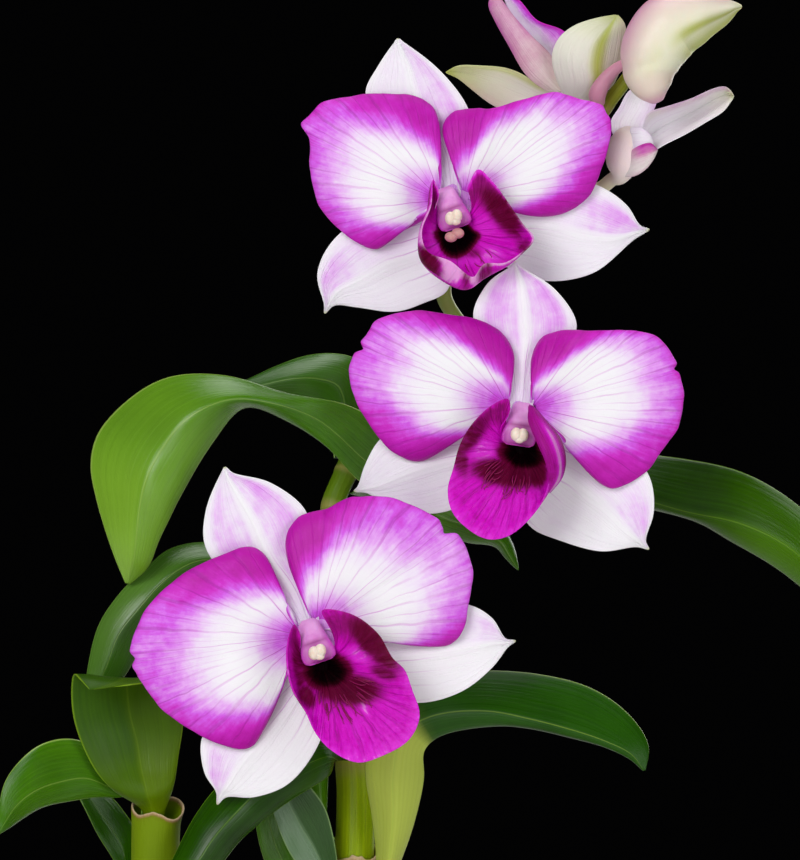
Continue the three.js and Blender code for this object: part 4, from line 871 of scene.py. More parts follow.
def claspRow(seat):
    x, y, radius = caneAt(seat["cane"], seat["height"])
    spare = 0.45
    reach = radius + seatGap + leafThickness / 2 + spare
    turns = [math.radians(seat["facing"] + offset) for offset in (-seat["spread"], 0, seat["spread"])]
    return [Vector((x + reach * math.cos(turn), y + reach * math.sin(turn), seat["height"]))
            for turn in turns]


def bladeLines(part, placed=vectors):
    # left edge, rib and right edge; a tip that they share is given once
    tip = [part["tip"]] if "tip" in part else []
    return [placed(part[line] + tip) for line in ("left", "rib", "right")]


def acrossBlade(lines, u, v, fold):
    # a place between the edges, from a smooth trough at fold 0 to a sharp crease at 1
    a, m, b = [pointAlong(line, v) for line in lines]
    curved = a * (2 * (u - 0.5) * (u - 1)) + m * (4 * u * (1 - u)) + b * (2 * u * (u - 0.5))
    folded = a.lerp(m, 2 * u) if u < 0.5 else m.lerp(b, 2 * u - 1)
    return curved.lerp(folded, fold)


def leafShape(leaf):
    first = claspRow(leaf["seat"]) if "seat" in leaf else vectors(leaf["base"])
    lines = [[start] + line for start, line in zip(first, bladeLines(leaf))]

    def shape(u, v):
        v *= lastRow
        ripple = 0.25 * math.sin(v * 17 + u * 3) * abs(2 * u - 1) ** 2 * step(0.1, 0.4, v)
        return acrossBlade(lines, u, v, 0.45) + Vector((0, ripple, ripple * 0.5))
    return shape


def leafMarks(leaf):
    # the second colour, by keys on each side of the rib, where it is painted light, or all over near the
    # base, where it is the pale underside
    def marks(u, v):
        if "paleBelow" in leaf:
            return 0.0, step(*leaf["paleBelow"], v), 0.0
        if "second" in leaf:
            return 0.0, fromKeys(leaf["second"][0 if u < 0.5 else 1], v), 0.0
        return 0.0, 0.0, 0.0
    return marks


def camel(name):
    words = name.split("_")
    return words[0] + "".join(word.capitalize() for word in words[1:])


for node, leaf in leaves.items():
    rows = 4 * (len(leaf["rib"]) + 1)
    skin = leafSkins[leaf.get("skin", leaf["colour"])]
    piece = sheet(camel(node), leafShape(leaf), 16, rows, leafThickness, skin, leafMarks(leaf), 0.45)
    standsFor(piece, node, leaf["colour"] + "_leaf")
print("leaves ready")

# open blooms: sepals are two edges from base to tip, petals fan out from a claw to an edge, and the
# lip's rays leave the throat, swell through the belly and end on the edge; all [right, up, depth] in mm

blooms = {
  "top_bloom": {
    "place": [42, 6, 296.6],
    "sepals": [
      {
        "left": [[-2, 3, 0.6], [-8, 15, 3.6], [-16, 21, 5], [-20.5, 28, 5], [-17.5, 34.5, 5],
          [-14.2, 39.4, 5.5]],
        "right": [[1, 3, 0.6], [3, 13.5, 3.6], [4.5, 19.5, 5], [2.5, 26, 5], [-4, 34, 5],
          [-11.5, 39.8, 5.5]],
        "tip": [-13, 40.8, 6],
      },
      {
        "left": [[0, -5, 2.5], [-1.5, -17, 3], [-7, -20, 3.5], [-13.5, -22, 4], [-22, -21, 4.5],
          [-27.5, -20.5, 5]],
        "right": [[-1.5, 1, 2.5], [-12.5, 0.5, 4], [-23.5, -2, 4.5], [-29, -7, 4.5], [-31.5, -13.5, 4.5],
          [-30, -20, 5]],
        "tip": [-29.8, -22.4, 6],
      },
      {
        "left": [[1.5, 1.5, 2.5], [15, 6, 4.5], [25, 8.5, 5], [33, 7, 5], [39.5, 2.5, 4.5], [42.5, -2, 5]],
        "right": [[0, -5, 2.5], [8, -10, 3], [15, -13, 4], [21.5, -15, 4], [32, -13, 4.5], [41, -5.5, 5]],
        "tip": [44.8, -3, 6],
      },
    ],
    "petals": [
      {
        "claw": [-3, 3.5], "phase": 0.1, "notches": [(0.466, -0.035, 0.014), (0.5, 0.015, 0.02)],
        "edge": [[-4, 12, 1], [-3.4, 19.5, 2], [-5, 25, 3], [-9, 27.4, 3], [-16, 28, 2], [-24, 27.4, 2],
          [-31, 25.4, 1], [-34.4, 20.5, 1], [-33.2, 16, 0], [-33, 9, 0], [-30.6, 1.5, 1], [-25, -4.4, 2],
          [-17.8, -7.8, 3], [-15.2, -5, 3], [-11, -3, 2], [-6, -0.5, 1]],
      },
      {
        "claw": [2, 4], "phase": 0.6, "notches": [(0.555, 0.02, 0.02)],
        "edge": [[-0.5, 12.5, 2], [-2.8, 20.5, 3], [0, 24, 3], [4.5, 24.5, 1], [9, 24.5, -1],
          [16.5, 26.8, 0], [23.5, 28.2, 1], [29.5, 26.4, 1], [34.5, 25, 1], [36, 20, 1], [34, 12, 1],
          [31.5, 5.5, 2], [27, 1.4, 3], [21, -0.2, 3], [15, 0.5, 2], [9, 3, 1]],
      },
    ],
    "lip": {
      "throat": [0, -3.8, -0.4],
      "belly": [[-5.4, -3, -2.5], [-6, 0, -3], [-6.8, 2, -4], [-8.5, -1.5, -5], [-10, -6.5, -7],
        [-11, -14, -9], [-6.6, -21, -10], [1, -23, -11], [8, -20.4, -12], [13, -14.5, -11], [15, -10.5, -9],
        [15, -6, -7], [12, -2.5, -6], [9.5, 0, -5], [7.5, 2.5, -4.5], [6.2, 1.5, -4], [5.6, -1.5, -3]],
      "edge": [[-4.6, 1.5, -5], [-3.6, 4.8, -6.5], [-5, 7.8, -8], [-5.4, 2, -9], [-7.6, -4, -11],
        [-6.2, -8.8, -14], [-1, -11, -16], [3.9, -14.6, -17], [6.4, -11.6, -17], [11, -11.4, -16],
        [14.5, -9.4, -15], [17.8, -5.8, -12], [15.2, -2.2, -9.5], [12, 2.6, -8], [8.9, 6.9, -7],
        [5.2, 10.2, -7], [2.7, 6, -5.5]],
    },
    "column": {"lean": -0.33, "shift": [-0.5, -0.2]},
    "pedicel": [[0, 5, -1, 3], [-1.5, 10.5, -8, 2.3], [-2.5, 14, -17.5, 1.9], [0.5, 19, -23, 1.7],
      [3.5, 22.4, -26, 1.6]],
  },
  "middle_bloom": {
    "place": [56, -8, 247.1],
    "sepals": [
      {
        "left": [[-1, 3, 0.6], [-4, 16, 3.6], [-8.5, 22, 5], [-10, 27, 5], [-6.5, 34, 5], [-1.5, 37.6, 5.5]],
        "right": [[2.5, 3, 0.6], [7, 16, 3.6], [12.5, 20.5, 5], [13.5, 25, 5], [8.5, 32.5, 5],
          [0.8, 37.6, 5.5]],
        "tip": [-0.5, 38.8, 6],
      },
      {
        "left": [[-1, -4, 2.5], [-6.5, -12.5, 3], [-14.5, -17.5, 3], [-21, -18.5, 3.5], [-28.5, -17, 4.5],
          [-34, -13.8, 5]],
        "right": [[-2.5, 0.5, 2.5], [-14.5, 2, 4], [-25, 2, 4.5], [-31, -1.5, 4.5], [-34.5, -7.5, 4.5],
          [-36, -12, 5]],
        "tip": [-37, -13.4, 6],
      },
      {
        "left": [[2.5, 1, 2.5], [14, 0, 4], [24.5, -3.5, 4.5], [30, -10, 4.5], [31, -18, 4.5],
          [29.2, -24.4, 5]],
        "right": [[0, -5, 4], [-0.5, -14.5, 6.5], [3, -21.5, 6], [9.5, -24.5, 4.5], [19, -27, 4],
          [27, -26, 5]],
        "tip": [30, -26.6, 6],
      },
    ],
    "petals": [
      {
        "claw": [-2, 6], "phase": 0.35, "notches": [(0.5, 0.045, 0.011), (0.47, -0.015, 0.02)],
        "edge": [[-1.5, 12, 2], [-0.8, 18, 3], [-4, 23, 3], [-9, 25.5, 2], [-17.5, 27, 2], [-24.5, 27.5, 2],
          [-32.5, 24.8, 1], [-34.6, 20.8, 1], [-37.2, 17.5, 0], [-38, 11.5, 0], [-35.2, 4.5, 1],
          [-29.5, -3.4, 2], [-22.5, -6.8, 3], [-17.5, -4, 3], [-12, 0, 2], [-6, 3.5, 1]],
      },
      {
        "claw": [3, 5.5], "phase": 0.8, "notches": [(0.5, 0.04, 0.01)],
        "edge": [[3.5, 11.5, 2], [3.3, 17, 3], [5.5, 21.4, 3], [9.5, 23, 2], [15, 23, -1], [21.5, 23, 0],
          [26.5, 23, 0], [32.5, 21, 0], [35.8, 16, 0], [36.8, 13, 0], [37.6, 7, 1], [36.5, 1.5, 1],
          [33, -4, 2], [28.5, -9.6, 3], [21.8, -12.8, 3], [17.5, -10.5, 3], [14.5, -5, 2], [9, 0, 1]],
      },
    ],
    "lip": {
      "throat": [1, -3.8, -0.4],
      "belly": [[-5.2, -2, -2.5], [-5, 0.5, -3], [-4.8, 1.5, -3.5], [-6.5, 0.5, -3.5], [-7.5, -1.5, -4],
        [-8, -3.5, -5], [-8, -6, -6], [-9, -8.5, -8], [-8, -12.5, -10], [-5.5, -15, -11],
        [-2.5, -16.5, -11], [1, -15.5, -11], [5, -14, -10], [10, -12, -8], [13.5, -7, -7], [12, -1, -6],
        [8.5, 2.5, -5], [6.2, 2, -4.5], [5.8, -1.5, -3]],
      "edge": [[-3.8, 1.4, -5], [-1.8, 4.8, -6], [-2.3, 7.5, -7], [-6, 6, -7], [-10.5, 1.7, -8],
        [-13.2, -3, -9], [-14.6, -8, -10], [-15.9, -13, -12], [-14.8, -18, -13], [-10.6, -22.2, -14],
        [-6.7, -23.9, -15], [-2, -23, -14], [3.4, -18.2, -13], [6.3, -12.6, -13], [6.6, -7.8, -12],
        [4.7, -3.2, -11], [2.7, 1, -10], [2.2, 5.9, -8], [2.8, 4, -6.5]],
      "lobe": {
        "left": [[2.4, 6.2, -8], [2.1, 2.6, -9.8], [3.9, -2, -11], [5.8, -6.4, -12.2], [6.6, -10, -12.8],
          [6.4, -13.6, -12.6]],
        "rib": [[3, 6, -8], [4.8, 2.4, -10.4], [7.2, -1.6, -11.4], [8.6, -6, -11.6], [8.6, -10, -11.8],
          [6.6, -13.7, -12.4]],
        "right": [[3.4, 5.8, -7.4], [6.9, 1.9, -7], [9.6, -1.6, -6.5], [10.7, -5.8, -6.5], [10, -9.8, -8],
          [6.8, -13.8, -12.2]],
      },
    },
    "column": {"lean": 0.15, "shift": [0.4, 0]},
    "pedicel": [[0, 5, -1, 3], [-3, 13, 2.5, 2.2], [-10, 24, 8, 1.8], [-17, 32, 12.5, 1.6],
      [-20.4, 37.2, 14.2, 1.6]],
  },
  "lower_bloom": {
    "place": [11.7, -22, 199],
    "sepals": [
      {
        "left": [[-3, 3, 0.6], [-13, 11.5, 3.6], [-22, 17, 5], [-26, 23, 5], [-25.6, 31, 5],
          [-22.6, 38.4, 5.5]],
        "right": [[-0.5, 3, 0.6], [0, 15, 3.6], [-1.5, 23.5, 5], [-3.5, 31, 5], [-11.5, 37, 5],
          [-19.5, 39, 5.5]],
        "tip": [-21.4, 40.4, 6],
      },
      {
        "left": [[0.5, -5.5, 2.5], [1.5, -14.5, 3], [-0.5, -22, 3.5], [-7, -30.5, 4], [-15, -33.6, 4.5],
          [-21, -33.6, 5]],
        "right": [[-4, -1.5, 2.5], [-14, -9.5, 4], [-22, -15.5, 4.5], [-26.5, -20, 4.5], [-26, -28, 4.5],
          [-23.4, -32.4, 5]],
        "tip": [-23.2, -35.4, 6],
      },
      {
        "left": [[2.5, 1, 2.5], [16, 5, 4], [27, 9.5, 4.5], [33.5, 9.5, 4.5], [38.5, 6.5, 4.5],
          [41.4, 2, 5]],
        "right": [[1.5, -5, 2.5], [11.5, -10, 3], [22, -12.5, 4], [31.5, -10, 4.5], [38.5, -4.5, 4.5],
          [42, 0, 5]],
        "tip": [43.8, 1.4, 6],
      },
    ],
    "petals": [
      {
        "claw": [-4, 2.5], "phase": 0.2, "notches": [(0.535, -0.025, 0.014), (0.505, 0.02, 0.012)],
        "edge": [[-7.5, 8, 2], [-10.5, 14, 3], [-12.2, 20.5, 3], [-15.5, 22.6, 2], [-24, 20, 1],
          [-33.5, 14.5, 0], [-39.6, 7.5, 0], [-42.4, 0, 0], [-41.4, -4, 0], [-39.5, -8.5, 0],
          [-34.5, -14.5, 1], [-26.5, -19.8, 2], [-16.2, -22.8, 3], [-12.8, -18.5, 3], [-10, -12.5, 2],
          [-7.5, -4.5, 1]],
      },
      {
        "claw": [-1, 4], "phase": 0.5, "notches": [(0.54, 0.04, 0.011)],
        "edge": [[-4.5, 12.5, 2], [-7.4, 20, 3], [-7.6, 25, 3], [-5, 29.2, 3], [1, 31, 2], [6, 33.4, 1],
          [11, 34, 0], [18, 33, 0], [26, 29, 0], [28, 26.6, 0], [31.4, 24.8, 1], [34, 18, 1],
          [33.4, 10.5, 1], [31.5, 3, 2], [29, 0.6, 3], [22.5, 0.4, 3], [15.5, 2.5, 2], [7, 5, 1]],
      },
    ],
    "lip": {
      "throat": [0.5, -3.8, -0.4],
      "belly": [[-5.6, -4, -2.5], [-6, -2, -3.5], [-6.6, -1, -4], [-7.4, -2.5, -4.5], [-7.6, -5.5, -5],
        [-6, -10.5, -6], [-3, -13.5, -8], [-0.5, -15.5, -9], [3, -17.5, -10], [7.5, -17.5, -11],
        [11, -16, -11], [13, -13.5, -11], [13.5, -11.5, -10], [12.5, -9, -9], [11.5, -6.5, -8],
        [9.5, -3.5, -7], [8.5, -1, -6], [7.5, 0.5, -5], [6.4, 0, -4], [6, -1.5, -3]],
      "edge": [[-4.2, 1, -5], [-4.4, 3.6, -6], [-5.6, 5.6, -7], [-7, 2, -8], [-7.1, -3, -9],
        [-5.9, -8.6, -10], [-2.8, -13.8, -12], [-0.9, -18, -13], [2.4, -21.8, -14], [8.4, -24.6, -15],
        [13.8, -23.2, -15], [19.8, -19.6, -15], [22.2, -14.3, -14], [20.5, -8.6, -13], [18.8, -4.2, -11],
        [16.2, -1.8, -10], [13, 3.6, -9], [7.1, 7.9, -8], [0.4, 8.7, -7], [2.6, 4.4, -5.5]],
    },
    "column": {"lean": -0.33, "shift": [-0.7, 0]},
    "pedicel": [[0, 5, -1, 3], [1, 14, 5, 2.2], [1.8, 26, 14, 1.8], [2.3, 33.5, 19.3, 1.6],
      [2.5, 39.4, 21, 1.6]],
  },
}


def bladeShape(part, fold=0.3, placed=vectors):
    lines = bladeLines(part, placed)

    def shape(u, v):
        return acrossBlade(lines, u, v * lastRow, fold)
    return shape


def bladeMarks(blush, green, rib=(0.5, 0.0), vein=0.2):
    # blush from side to side, green from base to tip, and a green stripe where rib says, with its strength
    def marks(u, v):
        stripe = rib[1] * math.exp(-((u - rib[0]) / 0.11) ** 2) * step(0.02, 0.2, v)
        return fromKeys(blush, u) * step(-0.3, 0.5, v), max(fromKeys(green, v), stripe), vein
    return marks


def sepalShape(part):
    left, right = [frontFacing(part[side] + [part["tip"]]) for side in ("left", "right")]
    keel = 0.8

    def shape(u, v):
        v *= 0.995
        a, b = pointAlong(left, v), pointAlong(right, v)
        point = a.lerp(b, u)
        dish = keel * 4 * u * (1 - u) * (1 - v ** 3)
        ridge = -0.5 * math.exp(-((u - 0.5) / 0.07) ** 2) * step(1.0, 0.7, v) * step(0.0, 0.2, v)
        ripple = 0.3 * math.sin(9 * v + 5 * u) * abs(2 * u - 1) ** 2
        return point + Vector((0, dish + ridge + ripple, 0))
    return shape


def petalShape(petal):
    edge = frontFacing(petal["edge"])
    claw = petal["claw"]
    bow, firstDepth = 2.4, 2.6

    def shape(u, v):
        t = 0.03 + 0.97 * v
        end = pointAlong(edge, u)
        reach = 1 + 0.004 * math.sin(2 * math.pi * 11 * u) + 0.003 * math.sin(2 * math.pi * 23 * u + 1)
        for where, size, width in petal["notches"]:
            reach -= size * math.exp(-((u - where) / width) ** 2) * step(0.5, 1.0, t)
        depth = firstDepth + (end.y - firstDepth) * t * t - bow * 4 * t * (1 - t)
        depth += 0.4 * math.sin(2 * math.pi * (3.4 * u + petal["phase"])) * t ** 3
        depth += 0.5 * step(0.92, 1.0, t)
        out = t * (1 + (reach - 1) * t * t)
        return Vector((claw[0] + (end.x - claw[0]) * out, depth, claw[1] + (end.z - claw[1]) * out))
    return shape


def petalMarks(colours):
    # lilac at the claw, white as far as the white keys, then up to the rim keys at the margin; the rim is the
    # petal's own magenta, deepest at the inner corners partly as painted shade where the margin bends back
    def marks(u, v):
        white, rim = fromKeys(colours["white"], u), fromKeys(colours["rim"], u)
        outer = rim * step(white - 0.2, white + 0.3, v) + 0.12 * step(0.93, 1.0, v)
        claw = 0.66 * step(0.42, 0.0, v)
        return max(outer, claw), 0.0, 0.4 + 0.6 * step(0.55, 0.15, v)
    return marks


def sepalMarks(blush):
    # a lilac patch either side of the rib; blush gives its strength left and right, from base to tip
    def marks(u, v):
        far = abs(u - 0.5)
        patch = step(0.012, 0.09, far) * step(0.5, 0.34, far) * (0.7 + 0.3 * step(0.1, 0.35, far))
        base = 0.1 * step(0.3, 0.05, v)
        tint = max(base, 0.8 * patch * fromKeys(blush[0] if u < 0.5 else blush[1], v))
        return tint, 0.8 * step(0.93, 1.0, v), 0.04 + 0.7 * step(0.4, 0.15, v)
    return marks


def lipShape(lip):
    start = frontFacing([lip["throat"]])[0]
    belly, edge = frontFacing(lip["belly"]), frontFacing(lip["edge"])

    def shape(u, v):
        t = 0.04 + 0.96 * v
        b, e = pointAlong(belly, u), pointAlong(edge, u)
        point = start * (1 - t) ** 2 + b * (2 * t * (1 - t)) + e * (t * t)
        frill = 0.35 * math.sin(2 * math.pi * 8 * u) * t ** 5 * step(0.15, 0.4, u) * step(0.9, 0.65, u)
        return point + Vector((0, frill, 0))
    return shape


def lipMarks(lip, pigmentAndLightSpots):
    shape = lipShape(lip)

    # dark spots are the lip's own crimson; light spots are mostly painted highlights on its lit faces; past
    # foldFrom, the fold's dark spots are painted shade in its creases and its light spots painted light on
    # its lit outer face, with a pale bottom rim
    def marks(u, v):
        point = shape(u, v)
        dark = spotAmount(pigmentAndLightSpots["dark"], point.x, point.z)
        light = spotAmount(pigmentAndLightSpots["light"], point.x, point.z)
        if v > pigmentAndLightSpots.get("foldFrom", 2):
            dark = spotAmount(pigmentAndLightSpots["foldDark"], point.x, point.z)
            light = max(spotAmount(pigmentAndLightSpots["foldLight"], point.x, point.z), 0.8 * step(0.92, 0.98, v))
        base = 0.52 - 0.3 * step(-1.0, 5.0, point.z) + 0.15 * step(0.85, 1.0, v)
        # the deep weight is full near the throat, where v is small: painted shade in its hollow
        return base + 0.5 * light, max(dark, step(0.2, 0.1, v)), 0.0
    return marks


def lobeMarks(u, v):
    # the outside of a side lobe: a dark front rim, a painted highlight (a pale glint) down the middle, a dark
    # far rim
    paintedGlint = math.exp(-((u - 0.52 - 0.1 * v) / 0.13) ** 2) * step(0.12, 0.35, v)
    lower = step(0.6, 0.95, v) * step(0.2, 0.5, u)
    rims = step(0.82, 1.0, u)
    return 0.3 + 0.65 * paintedGlint + 0.3 * lower - 0.3 * rims, 0.4 * rims, 0.0


def makeHairs(name, bloom, hairs):
    # crimson hairs that rise from the throat's floor and bend down to the lip
    shape, place = lipShape(bloom["lip"]), Vector(bloom["place"])
    pieces = []
    for k in range(hairs["count"]):
        turn = random.uniform(*hairs["turns"])
        first = random.uniform(*hairs["from"])
        last = first + random.uniform(0.1, hairs["length"])
        bend = random.uniform(-0.03, 0.03)
        stations = []
        for i in range(6):
            w = i / 5
            point = shape(turn + bend * w * w, first + (last - first) * w)
            lift = 0.25 + hairs["rise"] * math.sin(math.pi * w)
            stations.append((point.x, point.y - lift, point.z, 0.14 * (1 - 0.5 * w)))
        pieces.append(tube(name + "Hair", stations, 6, 8, hairSkin, origin=place, fine=False))
    return pieces


# stations are x, y, z, half width and half depth; the cap's lobes are x, y, z and three radii
columnShape = {
    "stations": [(0, -4.2, -3.1, 2.6, 0.8), (0, -4.5, -2.5, 3.6, 1.6), (0, -4.2, -0.8, 3.9, 2.4),
        (0, -3.3, 1.6, 3.3, 2.6), (0, -2.3, 4.0, 2.8, 2.4), (0, -1.2, 5.8, 2.4, 1.8),
        (0, -0.6, 6.8, 1.3, 1.0)],
    "lobes": [(-0.75, -7.2, -0.6, 1.3, 1.15, 1.55), (0.75, -7.2, -0.5, 1.3, 1.15, 1.5),
        (0.1, -7.2, -1.6, 1.2, 0.9, 0.9)],
}


def leaned(point, bloom):
    # a place on the column, tilted sideways with it and moved to the bloom
    cosine, sine = math.cos(bloom["column"]["lean"]), math.sin(bloom["column"]["lean"])
    shift = bloom["column"]["shift"]
    return Vector((point[0] * cosine + point[2] * sine + shift[0], point[1],
                   point[2] * cosine - point[0] * sine + shift[1]))


def makeColumn(name, bloom):
    # tint darkens its sides, its foot and the hollow in its front, where the darkening, with a little deep,
    # is painted shade under the cap; deep draws the crescent across it
    piece, places = newGrid(name, 36, 30)
    stations = columnShape["stations"]
    centres = [Vector(s[:3]) for s in stations]
    halves = [Vector((s[3], s[4], 0)) for s in stations]
    place = Vector(bloom["place"])
    marks = []
    for vert, (u, v) in zip(piece.data.vertices, places):
        turn = 2 * math.pi * u
        centre, half = pointAlong(centres, v), pointAlong(halves, v)
        front = step(0.2, 1.0, -math.sin(turn))
        hollow = front * step(0.62, 0.3, v) * step(0.0, 0.1, v)
        point = centre + Vector((half.x * math.cos(turn), half.y * math.sin(turn) + 1.5 * hollow, 0))
        vert.co = (leaned(point, bloom) + place) * mm
        sides = step(0.35, 0.95, abs(math.cos(turn))) * step(1.0, 0.3, v)
        crescent = front * math.exp(-((v - 0.5) / 0.035) ** 2)
        # the hollow's share of tint is painted shade under the cap
        tint = max(sides, step(0.25, 0.0, v), 0.7 * hollow)
        marks.append((tint, 0.75 * crescent + 0.5 * hollow * step(0.3, 0.1, v), 0))
    colourWeights(piece.data, marks)
    weld(close=True)
    return coated(piece, columnSkin)


def makeCap(name, bloom):
    # the two lobes of the cap with its beak below, one swelling each
    place = Vector(bloom["place"])
    return [swelling(name, leaned(lobe[:3], bloom) + place, lobe[3:], capSkin)
            for lobe in columnShape["lobes"]]


def makeBloom(node, bloom, colours):
    name = camel(node)
    place, throat = bloom["place"], bloom["lip"]["throat"]
    centre = Vector(place)
    pieces = []
    for part, blush in zip(bloom["sepals"], colours["blush"]):
        pieces.append(sheet(name + "Sepal", sepalShape(part), 24, 34, tepalThickness, sepalSkin,
                            sepalMarks(blush), origin=place))
    for part, tones in zip(bloom["petals"], colours["petals"]):
        pieces.append(sheet(name + "Petal", petalShape(part), 72, 22, tepalThickness, petalSkin,
                            petalMarks(tones), origin=place))
    pieces += [
        swelling(name + "Ovary", centre + Vector((0, 3.6, 1.5)), (5.2, 3.2, 6.5), petalSkin, (0.4, 0, 0.2)),
        swelling(name + "Chin", centre + Vector((0, 6, -5)), (2.8, 3.6, 4), petalSkin, (0.45, 0, 0.2)),
        tube(name + "Pedicel", bloom["pedicel"], 16, 24, pedicelSkin, origin=place),
    ]
    standsFor(joined(name + "Tepals", pieces), node + "_tepals", "tepal")

    lip = [
        sheet(name + "Lip", lipShape(bloom["lip"]), 96, 30, 0.6, lipSkin,
              lipMarks(bloom["lip"], colours["lip"]), origin=place),
        # a swelling at the lip's root, near black by its full deep weight: painted shade in the throat
        swelling(name + "LipRoot", centre + Vector((throat[0], -0.6, throat[1])), (2.3, 1.2, 2.3), lipSkin,
                 (0.2, 1.0, 0)),
    ]
    hairs = makeHairs(name, bloom, colours["hairs"])
    if "lobe" in bloom["lip"]:
        lobeShape = bladeShape(bloom["lip"]["lobe"], 0.1, frontFacing)
        lip.append(sheet(name + "Lobe", lobeShape, 20, 34, 0.5, lipSkin, lobeMarks, origin=place))
    standsFor(joined(name + "Lip", lip + hairs), node + "_lip", "lip")

    standsFor(makeColumn(name + "Column", bloom), node + "_column", "column")
    cap = makeCap(name + "AntherCap", bloom)
    for x, z in colours.get("pollen", []):
        spot = leaned((x, -6.4, z), bloom) + centre
        cap.append(swelling(name + "Pollen", spot, (1.45, 1.1, 1.2), pollenSkin))
    standsFor(joined(name + "AntherCap", cap), node + "_anther_cap", "anther")


